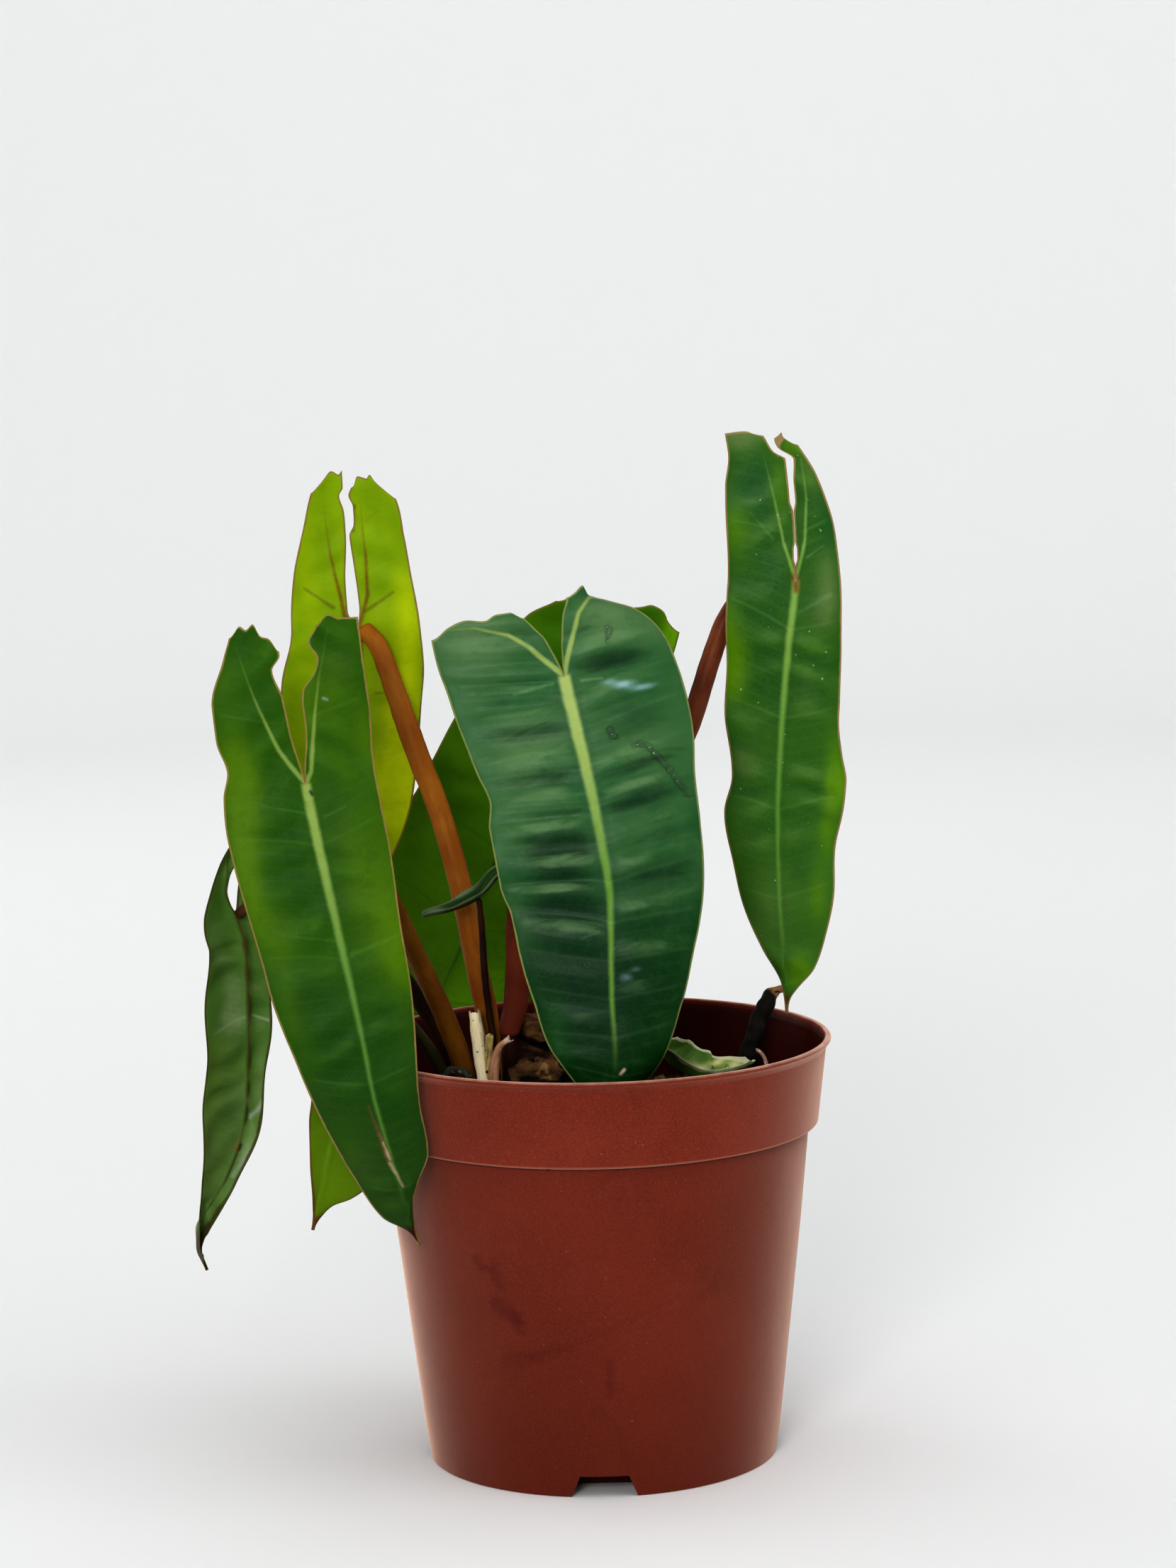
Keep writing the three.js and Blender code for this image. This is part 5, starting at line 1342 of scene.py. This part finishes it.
def make_pot():
    """One moulded pot: its wall turned round the axis, with four raised channels over
    the notches in its foot, and a square drain hole in the roof of each. The faces
    that look inward from half way up have a skin of their own, without the sheen."""
    outside = [
        (0, 0), (BASE_RADIUS, 0), (46.9, 13), (52.3, 60), (54.9, COLLAR_FOOT - 0.6),
        (57.3, COLLAR_FOOT), (59.65, 105.8), (60.3, 106.9), (RIM_RADIUS, 107.7),
        (60.7, POT_HIGH)]
    inside = [
        (59.4, POT_HIGH), (58.6, 106.2), (56.2, COLLAR_FOOT + 0.9),
        (53.8, COLLAR_FOOT + 0.4), (52.3 - POT_WALL, 60), (46.9 - POT_WALL, 13),
        (BASE_RADIUS - POT_WALL, POT_FLOOR), (0, POT_FLOOR)]
    pot = lathe("pot_shell", rounded(outside + inside, CORNER_RADIUS))
    channel_end = BASE_RADIUS + 0.7 - CHANNEL_DEEP
    grow = 2 * CHANNEL_WALL
    shell = make_object("channels", *turned_copies(*trapezoid_prism(
        NOTCH_FOOT + grow, NOTCH_TOP + grow, 0.05, NOTCH_HIGH + CHANNEL_WALL,
        channel_end - CHANNEL_WALL, BASE_RADIUS + 4)))
    envelope = lathe("envelope", [(0, 0.04)] + [(r - 0.3, z) for r, z in outside[1:4]] + [(0, 60)])
    apply_boolean(shell, envelope, "INTERSECT")
    apply_boolean(pot, shell, "UNION")
    hollow = make_object("hollows", *turned_copies(*trapezoid_prism(
        NOTCH_FOOT, NOTCH_TOP, -0.5, NOTCH_HIGH, channel_end, BASE_RADIUS + 9)))
    apply_boolean(pot, hollow, "DIFFERENCE")
    drain = make_object("drains", *turned_copies(*trapezoid_prism(
        DRAIN_SIDE, DRAIN_SIDE, NOTCH_HIGH - 2, NOTCH_HIGH + 3, channel_end + DRAIN_IN,
        channel_end + DRAIN_IN + DRAIN_SIDE)))
    apply_boolean(pot, drain, "DIFFERENCE")
    tidy_mesh(pot, turn=False)
    modifier = pot.modifiers.new("edges", "BEVEL")
    modifier.width = 0.25 * MM
    modifier.segments = 2
    modifier.limit_method = "ANGLE"
    modifier.angle_limit = math.radians(40)
    pot.data.polygons.foreach_set("use_smooth", [True] * len(pot.data.polygons))
    sharp = pot.modifiers.new("shading", "WEIGHTED_NORMAL")
    sharp.keep_sharp = True
    pot.data.materials.clear()
    settle(pot, "pot", "pot_plastic", pot_material("pot_plastic", 1.0, 0.2),
           pot_material("pot_plastic_inside", 0.0, 0.1))
    middle, facing = np.zeros((2, len(pot.data.polygons) * 3))
    pot.data.polygons.foreach_get("center", middle)
    pot.data.polygons.foreach_get("normal", facing)
    middle, facing = middle.reshape(-1, 3) / MM, facing.reshape(-1, 3)
    inward = (middle[:, :2] * facing[:, :2]).sum(1) < -0.3 * np.hypot(*middle[:, :2].T)
    inner = inward & (middle[:, 2] > INNER_SKIN_FROM)
    pot.data.polygons.foreach_set("material_index", inner.astype(int))


def pot_material(name, sheen, specular):
    """Moulded terracotta-coloured plastic: a fine even grain, faint smudges, old marks
    as ragged strokes, a few dust specks, painted shade on the wall below the collar,
    toward the foot, on the inner wall and in the notches, a painted shadow line under
    the collar's edge with a painted highlight on that edge, and a paler line along the
    rim's top."""
    shader = Shader(name)
    place = shader.place()
    x, y, z = shader.parts(place)
    radius = shader.maths("SQRT", x * x + y * y)
    # how far a place lies outside the middle of the collar's wall: inside is below 0
    beyond = radius - ((z - COLLAR_FOOT) * COLLAR_SLOPE + COLLAR_MIDDLE)
    broad = shader.noise(place, 40, 3, 0.55)
    grain = shader.noise(place, 0.42, 3, 0.75)
    smudge = shader.noise(shader.stretch(place, (1, 1, 0.6)), 14, 5, 0.62, 0.6)
    shader.start(shader.ease(broad, 0.35, 0.7), "712915", "7d311d")
    shader.lay(shader.ease(smudge, 0.55, 0.75, 0, 0.35), "58200f")
    shader.lay(shader.ease(grain, 0.42, 0.75, 0, 0.5), "8f4a38")
    shader.lay(shader.ease(grain, 0.5, 0.25, 0, 0.4), "5a1c0e")
    # old smudges lie on the front, placed by mm round the wall and height
    turned = shader.maths("ARCTAN2", x, y * -1) * POT_MARK_RADIUS
    round_wall = shader.vector(turned, z)
    ragged = (shader.noise(place, 1.8, 4, 0.7) - 0.5) * 6
    for mark in POT_MARKS:
        away, _ = shader.stroke(round_wall, mark[:2], mark[2:4])
        away = away + ragged - mark[4]
        shader.lay(shader.ease(away, -1.2, 1.2, mark[5], 0), "5a140c")
    specks = shader.ease(shader.noise(place, 0.7, 0), 0.84, 0.87)
    shader.lay(specks * 0.3, "b08a78")
    # painted shade: the wall below the collar darker, and darker still toward the foot, as the light
    # falls from above
    shader.lay(shader.ease(z, COLLAR_FOOT - 0.8, COLLAR_FOOT, 0.3, 0), "4e1802")
    shader.lay(shader.ease(z, 4, 60, 0.3, 0), "4e1400")
    # thin lines: a painted shadow under the collar's edge, a painted highlight on it, and
    # a paler line along the rim's top
    under = shader.ease(abs(z - (COLLAR_FOOT - 0.7)), 0.1, 0.5, 0.5, 0)
    shader.lay(under, "3c140a")
    edge = shader.ease(abs(z - (COLLAR_FOOT + 0.15)), 0.1, 0.4, 0.45, 0)
    shader.lay(edge, "a8705c")
    pale_rim = shader.ease(z, POT_HIGH - 0.5, POT_HIGH - 0.1)
    pale_rim = pale_rim * shader.ease(shader.noise(place, 6, 3), 0.3, 0.65, 0.35, 1)
    shader.lay(pale_rim * 0.8, "b98d7c")
    # painted shade on the inner wall, between the soil and the rim's top
    inside_shade = shader.ease(beyond, -0.15, 0.25, 1, 0) * shader.ease(z, 86.5, 87)
    inside_shade = inside_shade * shader.ease(z, POT_HIGH - 1.6, POT_HIGH - 0.4, 1, 0)
    shader.lay(inside_shade * 0.85, "380700")
    # painted shade in the hollows of the notches
    notch_shade = shader.ease(z, NOTCH_HIGH + 1, NOTCH_HIGH + 2, 1, 0)
    notch_shade = notch_shade * shader.ease(radius, 43.8, 44.6, 1, 0)
    shader.lay(notch_shade * 0.6, "240803")
    height = grain * 0.5 + broad * 1.5
    normal = shader.bump(height, 0.06, 0.35)
    surface = shader.surface.inputs
    surface["Sheen Weight"].default_value = sheen
    surface["Sheen Roughness"].default_value = 0.4
    surface["Sheen Tint"].default_value = colour("f4d0bc")
    return shader.finish(shader.ease(smudge, 0.3, 0.75, 0.42, 0.55), normal, specular)


# Soil, crown and dry pieces

def soil_top(x, y):
    """Height of the soil: its level, a bell-shaped mound at the crown and low waves."""
    away = (x - CROWN_AT[0]) ** 2 + (y - CROWN_AT[1]) ** 2
    return (SOIL_LEVEL + MOUND_HIGH * np.exp(-away / MOUND_SPREAD)
            + 0.9 * np.sin(0.31 * x + 1.2) * np.cos(0.27 * y)
            + 0.5 * np.sin(0.72 * x - 0.53 * y))


def make_soil():
    """The soil's body: a top on a polar grid, roughened by ripples of three sizes and
    level at the wall, closed below by the pot's inner profile."""
    angle = np.linspace(0, TAU, SOIL_SIDES, endpoint=False)[None, :]
    radius = np.linspace(0, SOIL_RADIUS - 0.4, SOIL_RINGS)[:, None]
    x, y = radius * np.cos(angle), radius * np.sin(angle)
    inward = np.clip((SOIL_RADIUS - radius) / 8, 0, 1)
    flat = np.stack([x, y], -1)
    rough = 0.7 * ripple(flat, 6, 5) + 0.45 * ripple(flat, 2.4, 6) + 0.25 * ripple(flat, 1.1, 7)
    z = SOIL_LEVEL + 0.7 + inward * (soil_top(x, y) - SOIL_LEVEL)
    z = z + rough * np.minimum(inward * 2, 1)
    z = np.maximum(z - 0.3, SOIL_LEVEL - 0.6)
    below = [(53.4, 86.8), (50.8, 60), (45.2, 13), (43.6, 7.2), (0, 7.2)]
    rows = [np.stack([x, y, z], -1)]
    for r, level in below:
        rows.append(np.stack([r * np.cos(angle), r * np.sin(angle), level + 0 * angle], -1))
    piece = make_piece("soil_body", *ring_grid(np.concatenate(rows)))
    settle(piece, "potting_soil", "potting_soil", soil_material())


def soil_material():
    """Dark damp peat and bark dust with lighter fibres."""
    shader = Shader("soil")
    place = shader.place()
    clods = shader.noise(place, 3, 5, 0.65)
    fibre = shader.noise(shader.stretch(place, (0.3, 1, 1)), 0.7, 3, 0.7)
    shader.start(shader.ease(clods, 0.35, 0.7), "140c08", "33241a")
    shader.lay(shader.ease(fibre, 0.6, 0.75) * 0.6, "6a4c34")
    normal = shader.bump(clods + fibre * 0.4, 0.9, 0.9)
    return shader.finish(0.92, normal, specular=0.2)


def bark_chip_parts(count, seed):
    """Bark chips and crumbs on the soil: each a bent slab of 3 by 3 by 2 points with
    rough corners, laid on the surface at a random turn and tilt."""
    rng = np.random.default_rng(seed)
    unit_grid = np.array([(i, j, k) for k in (-1, 1) for i in (-1, 0, 1) for j in (-1, 0, 1)], float)
    faces = [(0, 1, 4, 3), (1, 2, 5, 4), (3, 4, 7, 6), (4, 5, 8, 7),
             (9, 12, 13, 10), (10, 13, 14, 11), (12, 15, 16, 13), (13, 16, 17, 14)]
    loop = [0, 1, 2, 5, 8, 7, 6, 3]
    faces += [(loop[(k + 1) % 8], loop[k], loop[k] + 9, loop[(k + 1) % 8] + 9) for k in range(8)]
    parts = []
    for _ in range(count):
        reach = (SOIL_RADIUS - 4) * math.sqrt(rng.uniform())
        angle = rng.uniform(0, TAU)
        x, y = reach * math.cos(angle), reach * math.sin(angle)
        long = rng.uniform(0.7, 4.2)
        half = np.array([long, long * rng.uniform(0.35, 0.8), rng.uniform(0.25, 0.9)])
        shape = unit_grid * (1 + rng.uniform(-0.25, 0.1, unit_grid.shape)) * half
        shape[:, 2] += -0.12 * shape[:, 0] ** 2 / max(long, 1) * rng.uniform(-1, 1)
        turn = Matrix.Rotation(rng.uniform(0, TAU), 3, "Z")
        tilt = Matrix.Rotation(rng.normal(0, 0.35), 3, "X")
        tilt = tilt @ Matrix.Rotation(rng.normal(0, 0.35), 3, "Y")
        spot = np.array([x, y, float(soil_top(np.array(x), np.array(y))) + 0.5 + 0.25 * half[2]])
        shade = np.full((len(shape), 3), rng.uniform(0, 1, 3))
        parts.append((shape @ np.array(turn @ tilt).T + spot, faces, {"chip": shade}))
    return merge_attributes(parts)


def make_chips():
    """All the loose chips as one piece that lies on the soil."""
    piece = make_piece("bark_chips", *bark_chip_parts(CHIP_COUNT, CHIP_SEED), smooth=False)
    settle(piece, None, "potting_soil", chip_material())


def chip_material():
    """Bark: each chip from dark to tan by its own draw, streaked along its grain."""
    shader = Shader("bark_chip")
    place = shader.place()
    draw, second, _ = shader.parts(shader.attribute("chip"))
    grain = shader.noise(shader.stretch(place, (1, 0.3, 1)), 0.9, 4, 0.65)
    shader.start(shader.ease(draw, 0.1, 0.95), "1c110b", "5c4028")
    shader.lay(shader.ease(second, 0.9, 0.96), "a58a63")
    shader.lay(shader.ease(grain, 0.45, 0.7) * 0.5, "241710")
    normal = shader.bump(grain, 0.3, 0.7)
    return shader.finish(0.85, normal, specular=0.25)


def lump_parts(centre, radii, seed, rings=48, sides=72):
    """A dented ball: each direction's radius is drawn out per axis and roughened by a
    coarse and a fine ripple."""
    polar = np.linspace(0, math.pi, rings)[:, None]
    angle = np.linspace(0, TAU, sides, endpoint=False)[None, :]
    ball = np.stack([np.sin(polar) * np.cos(angle), np.sin(polar) * np.sin(angle),
                     np.cos(polar) + 0 * angle], -1)
    size = np.array(radii, float)
    swell = 1 + 0.12 * ripple(ball * 6, 5, seed) + 0.05 * ripple(ball * size, 1.6, seed + 1)
    return *ring_grid(np.array(centre) + ball * size * swell[..., None]), {}


def make_crown():
    """The short woody stem as four lumps: a low one in front, one above it that
    overhangs a dark hollow, and two behind."""
    lumps = [lump_parts((-15.2, -7.6, 96.5), (6.6, 3.8, 8.6), 23),
             lump_parts((-14, 0, 111.3), (7.2, 5.2, 3.7), 21),
             lump_parts((-13, 5.5, 98), (5.5, 3.6, 13), 25),
             lump_parts((-8, 1.5, 95), (4.8, 4.3, 8.6), 27)]
    piece = make_piece("crown_stem", *merge_attributes(lumps))
    settle(piece, "crown_wood", "crown_wood", wood_material())


def wood_material():
    """Old stem: ringed brown bark with pale scars, and painted shade in its hollows as
    two ragged strokes in (x, z)."""
    shader = Shader("crown_bark")
    place = shader.place()
    rings = shader.noise(shader.stretch(place, (0.4, 0.4, 1.1)), 3.6, 4, 0.55, 0.6)
    spots = shader.noise(place, 6, 3, 0.55)
    shader.start(shader.ease(rings, 0.35, 0.65), "241509", "6c4e2e")
    shader.lay(shader.ease(spots, 0.6, 0.7) * 0.7, "a58258")
    shader.lay(shader.ease(spots, 0.42, 0.34), "0c0705")
    # painted shade in the hollows under the upper lump and at the foot of the lower one
    x, _, z = shader.parts(place)
    for start, end, half in (((-19, 108.8), (-12, 105.8), 1.5), ((-18, 99), (-6, 98), 1.7)):
        away, _ = shader.stroke(shader.vector(x, z), start, end)
        away = away + (rings - 0.5) * 3
        shader.lay(shader.ease(away, half - 0.5, half + 0.5, 0.95, 0), "0a0503")
    normal = shader.bump(rings + spots, 0.9, 0.8)
    return shader.finish(0.85, normal, specular=0.25)


def slab_parts(front, back, attributes):
    """A closed slab between two grids of points: both skins and a wall round them."""
    rows, cols = front.shape[:2]
    index = np.arange(rows * cols).reshape(rows, cols)
    ring = np.concatenate([index[0, :-1], index[:-1, -1], index[-1, :0:-1], index[:0:-1, 0]])
    wall = grid_faces(np.stack([ring, ring + rows * cols]), closed=True)
    faces = np.concatenate([grid_faces(index), grid_faces(index[:, ::-1] + rows * cols), wall])
    points = np.concatenate([front.reshape(-1, 3), back.reshape(-1, 3)])
    doubled = {key: np.concatenate([v.reshape(-1, 3)] * 2) for key, v in attributes.items()}
    return points, faces, doubled


def husk_parts(points, radii, reach, torn, seed):
    """A dried sheath: a thin wall curled round a smooth line, reach radians to each side
    of the viewer's direction, whose upper end is torn unevenly; radii as (mm, radius)."""
    line = Line(points)
    angle = np.linspace(-reach, reach, 41)[None, :]
    share = np.linspace(0, 1, 70)[:, None]
    short = torn * (0.5 + 0.5 * ripple(np.stack([angle * 2, angle * 0], -1), 1.6, seed))
    u = share * (line.end - short)
    along = line.along(u)
    side = unit(np.cross((0.0, 1.0, 0.0), along))
    out = np.cross(along, side) * -1
    radius = through(radii)(u)
    ring = side * np.sin(angle)[..., None] + out * np.cos(angle)[..., None]
    dent = 0.05 * ripple(np.stack([u / 3, angle * radius, 0 * u], -1), 1.3, seed + 1)
    front = line.place(u) + ring * (radius + dent)[..., None]
    back = line.place(u) + ring * (radius + dent - HUSK_THICK)[..., None]
    rod = np.stack([u, radius * np.sin(angle), radius * np.cos(angle)], -1)
    return slab_parts(front, back, {"rod": rod})


def dry_material(name, main, deep, spot, spots, side, top, foot):
    """Dried sheath: papery, with streaks along it and small dark spots; side is a painted
    shade on its right side, and top and foot are the places where its ends change
    to colours of their own."""
    shader = Shader(name)
    rod = shader.attribute("rod")
    streaks = shader.noise(shader.stretch(rod, (0.15, 1, 1)), 0.8, 4, 0.65)
    blots = shader.noise(rod, 2.2, 3, 0.55)
    shader.start(shader.ease(streaks, 0.35, 0.7), main, deep)
    along, right, _ = shader.parts(rod)
    ragged = (streaks - 0.5) * 1.4
    # painted shade on the right side
    if side:
        shader.lay(shader.ease(right + ragged, 0.5, 1.7), side)
    if foot:
        shader.lay(shader.ease(along, foot[0] - 9, foot[0], 0.9, 0), foot[1])
    if top:
        high = along + ragged
        shader.lay(shader.ease(high, top[0], top[0] + 1.5), top[1])
    shader.lay(shader.ease(blots, spots, spots + 0.03), spot)
    normal = shader.bump(streaks, 0.3, 0.7)
    return shader.finish(0.75, normal, specular=0.3)


# the dry pieces: points in mm from the foot up, radii, how far a husk curls round and
# how much of its end is torn, and its colours: main, deep and spots, and how rare the
# spots are
DRY = {
    "petiole_cut_stub": dict(
        points=[(38.5, 20, 86), (39.8, 21, 96), (41.6, 22, 101.8), (43.4, 24, 107.3),
                (45.2, 25.5, 111), (46.8, 27, 113.6), (49, 27.5, 114.9), (51, 28, 114.6)],
        radii=[2.8, 2.8, 2.7, 2.5, 2.3, 2.3, 1.8, 1], rough=0.25, slot="dry_brown",
        look=("1a1408", "0a0703", "261d0b", 0.62), foot=(22, "020100"), top=(30, "94744c")),
    "sheath_cream_tall": dict(
        points=[(-28, -9, 89), (-28.5, -9, 100.3), (-29, -8.8, 104), (-29.7, -8.6, 110.9),
                (-30.6, -8.4, 117.9)],
        radii=[(0, 1.7), (9, 1.8), (16, 1.9), (22, 1.9), (29, 1.5)], reach=2.6, torn=1.1,
        slot="dry_sheath", look=("fff2d0", "f4e2b8", "1c140a", 0.665), side="7e6c44",
        top=(28, "6a5230")),
    "sheath_cream_short": dict(
        points=[(-27.9, -9.4, 90), (-27.6, -9.8, 102), (-27, -10.3, 108), (-26.9, -10.5, 112)],
        radii=[(0, 0.9), (14, 0.8), (18, 1.1), (21, 1.1), (22.2, 0.8)], rough=0.15,
        slot="dry_sheath", look=("d0bc80", "94804a", "1c140a", 0.68), side="6c5a30"),
    "sheath_pink": dict(
        points=[(-26, -12.4, 90), (-25.9, -12.6, 101.5), (-25.5, -12.6, 105.5),
                (-24.2, -12.6, 108.8), (-22.9, -12.6, 110.1), (-21.2, -12.6, 111)],
        radii=[(0, 1.5), (11, 1.5), (15, 1.3), (19, 0.9), (21, 0.8), (23, 1)], reach=2.2,
        torn=0.9, slot="dry_sheath", look=("c09478", "9a6a4c", "e4d2c0", 0.7),
        side="6a3c20", top=(20, "e0c4b0")),
    "root_front": dict(
        points=[(-31.8, -12.5, 88), (-32, -12.5, 99.6), (-33.2, -12.5, 102.3),
                (-35.2, -12.5, 103.3), (-37.3, -12.5, 102.7), (-39.5, -12.5, 98.4),
                (-40.5, -12.5, 86)],
        radii=[0.8, 0.8, 0.95, 1.05, 0.9, 0.8], rough=0.4, slot="root",
        look=("4a4634", "24211a", "7c785c", 0.6)),
    "root_right": dict(
        points=[(44.2, -8, 84), (44, -8, 101), (43, -8, 104.2), (41.2, -8, 106)],
        radii=[0.6, 0.6, 0.5], rough=0.08, slot="root",
        look=("b08c80", "7a5a50", "d4b8ac", 0.62)),
}


def make_dry(name):
    """One sheath as a curled husk, or one stub or root as a dented rod."""
    spec = DRY[name]
    shape = spec["points"], spec["radii"]
    if "reach" in spec:
        piece = make_piece(name + "_husk", *husk_parts(
            *shape, spec["reach"], spec["torn"], len(name)))
    else:
        piece = make_piece(name + "_skin", *rod_parts(
            *shape, spec["rough"], len(name), sides=24, spacing=0.45))
    ends = {key: spec.get(key) for key in ("side", "top", "foot")}
    settle(piece, name, spec["slot"], dry_material(name, *spec["look"], **ends))


# Water on the blades: the leaf, its side, half width and height in mm, (u, s) path

WATER = [
    ("leaf_centre_front", 1, 0.7, 0.65,
     [(-10.8, 12), (-9.6, 12.9), (-8.2, 12.3), (-7.1, 12.1), (-6.2, 12.6)]),
    ("leaf_centre_front", 1, 0.85, 0.75, [(14.9, 8.4), (16, 7.9), (17.4, 8.4), (18, 9.5)]),
    ("leaf_centre_front", 1, 0.75, 0.65,
     [(20.9, 12), (21.3, 15.5), (23.6, 17), (27, 19.2), (30.9, 21.1), (33, 22.2),
      (35.5, 23.8)]),
    ("leaf_curled", 1, 0.9, 0.6, [(13.5, 3), (14.6, 3.4)]),
    ("leaf_curled", 1, 0.7, 0.5, [(19, 2.6), (20.2, 2.4)]),
]


def water_parts(blade, sign, half, high, path):
    """Water standing on the blade's front along a path: round in section, its width
    swelling and narrowing along the path and rounded off at both ends."""
    line = Line([(u, s, 0) for u, s in path])
    run = np.linspace(0, line.end, max(24, int(line.end / 0.15)))
    spot = line.place(run)
    along = line.along(run, 0.1)
    beads = 1 + 0.35 * ripple(run[:, None], 2.2, len(path))
    wide = half * beads * round_off(run, line.end, half, 0.03)
    x = np.sin(np.linspace(-1, 1, 13) * math.pi / 2)[None, :]
    u = spot[:, :1] - along[:, 1:2] * wide[:, None] * x
    s = spot[:, 1:2] + along[:, :1] * wide[:, None] * x
    skin = blade.place(u, s)
    normal = blade.normal(u, s, sign)
    round_top = high / half * wide[:, None] * np.sqrt(np.clip(1 - x * x, 0, 1))
    front = skin + normal * (HALF_THICK + 0.01 + round_top)[..., None]
    back = skin + normal * (HALF_THICK - 0.06)
    return slab_parts(front, back, {})


def make_water():
    """The drops and the thin stream of water that stand on two of the blades."""
    parts = [water_parts(Blade(LEAVES[leaf]), *shape) for leaf, *shape in WATER]
    piece = make_piece("water_drops", *merge_attributes(parts))
    shader = Shader("water")
    shader.base = colour("f4faf8")
    ripples = shader.noise(shader.place(), 1.5, 2)
    shader.surface.inputs["Transmission Weight"].default_value = 1.0
    shader.surface.inputs["IOR"].default_value = 1.33
    settle(piece, None, "water", shader.finish(shader.ease(ripples, 0.3, 0.7, 0.02, 0.07)))


# Stage, light and camera

def make_stage():
    """A pale floor that curves up into a low wall all round: rows of (radius, height),
    flat, then a quarter circle, then straight up, turned round the Z axis."""
    turn = np.linspace(0, math.pi / 2, 24)
    flat, bend, high = 1700.0, 800.0, 1700.0
    profile = [(0.0, 0.0), (400.0, 0.0)]
    profile += [(flat + bend * math.sin(a), bend - bend * math.cos(a)) for a in turn]
    profile += [(flat + bend, high)]
    stage = lathe("floor_and_wall", [(r, z - 0.05) for r, z in profile], 96)
    shader = Shader("floor_and_wall")
    shader.base = colour("ebecec")
    stage.data.materials.append(shader.finish(0.9, specular=0.1))


def area_light(name, place, size, power, aim=(0, 0, 130)):
    """A flat lamp with its place, two sides and aim in mm and its power in watts."""
    light = bpy.data.lights.new(name, "AREA")
    light.shape = "RECTANGLE"
    light.size, light.size_y = size[0] * MM, size[1] * MM
    light.energy = power
    lamp = bpy.data.objects.new(name, light)
    bpy.context.scene.collection.objects.link(lamp)
    start, end = Vector(place) * MM, Vector(aim) * MM
    lamp.matrix_world = Matrix.Translation(start) @ \
        (end - start).to_track_quat("-Z", "Y").to_matrix().to_4x4()


def make_light():
    """Soft studio light: an even sky, a broad lamp above, smaller ones at the side, in
    front and behind, and one that lights the wall."""
    world = bpy.data.worlds.new("studio")
    world.use_nodes = True
    world.node_tree.nodes["Background"].inputs[0].default_value = (1.0, 0.995, 1.0, 1)
    world.node_tree.nodes["Background"].inputs[1].default_value = 0.52
    bpy.context.scene.world = world
    area_light("top", (250, -300, 1700), (2200, 2200), 15.5)
    area_light("side", (1500, -600, 900), (1300, 1300), 5)
    area_light("front", (-260, -1400, 620), (420, 420), 12.5)
    area_light("back_left", (-1500, 900, 500), (1000, 1000), 7, aim=(0, 0, 60))
    area_light("wall", (0, 900, 1600), (2000, 500), 11.8, aim=(0, 2500, 500))


# the photograph's camera: its place in mm, its angles in radians and its lens in
# pixels of the photograph
CAMERA_AT = (0.0, -1018.0, 299.2)
CAMERA_DOWN = 0.1221
CAMERA_YAW = -0.0002
CAMERA_ROLL = -0.0229
FOCUS_PIXELS = 5650.0
PHOTO_HIGH = 2212


def make_camera():
    """The photograph's own view: a point, a pitch, a small roll and a lens."""
    data = bpy.data.cameras.new("camera")
    data.sensor_fit = "VERTICAL"
    data.sensor_height = 36.0
    data.sensor_width = 27.0
    data.lens = FOCUS_PIXELS / PHOTO_HIGH * data.sensor_height
    data.clip_start, data.clip_end = 0.05, 20
    camera = bpy.data.objects.new("camera", data)
    bpy.context.scene.collection.objects.link(camera)
    ahead = Vector((math.sin(CAMERA_YAW) * math.cos(CAMERA_DOWN),
                    math.cos(CAMERA_YAW) * math.cos(CAMERA_DOWN), -math.sin(CAMERA_DOWN)))
    right = ahead.cross(Vector((0, 0, 1))).normalized()
    up = right.cross(ahead)
    c, s = math.cos(CAMERA_ROLL), math.sin(CAMERA_ROLL)
    x_axis, y_axis = c * right + s * up, c * up - s * right
    turn = Matrix((x_axis, y_axis, -ahead)).transposed()
    camera.matrix_world = Matrix.Translation(Vector(CAMERA_AT) * MM) @ turn.to_4x4()
    bpy.context.scene.camera = camera


make_camera()
make_light()
make_stage()
make_pot()
make_soil()
make_chips()
make_crown()
for leaf_name in LEAVES:
    make_leaf(leaf_name)
for petiole_name in PETIOLES:
    make_petiole(petiole_name)
for dry_name in DRY:
    make_dry(dry_name)
make_water()

view = bpy.context.scene.view_settings
view.view_transform = "Standard"
view.look = "High Contrast"
view.exposure = -0.72
bpy.context.view_layer.update()
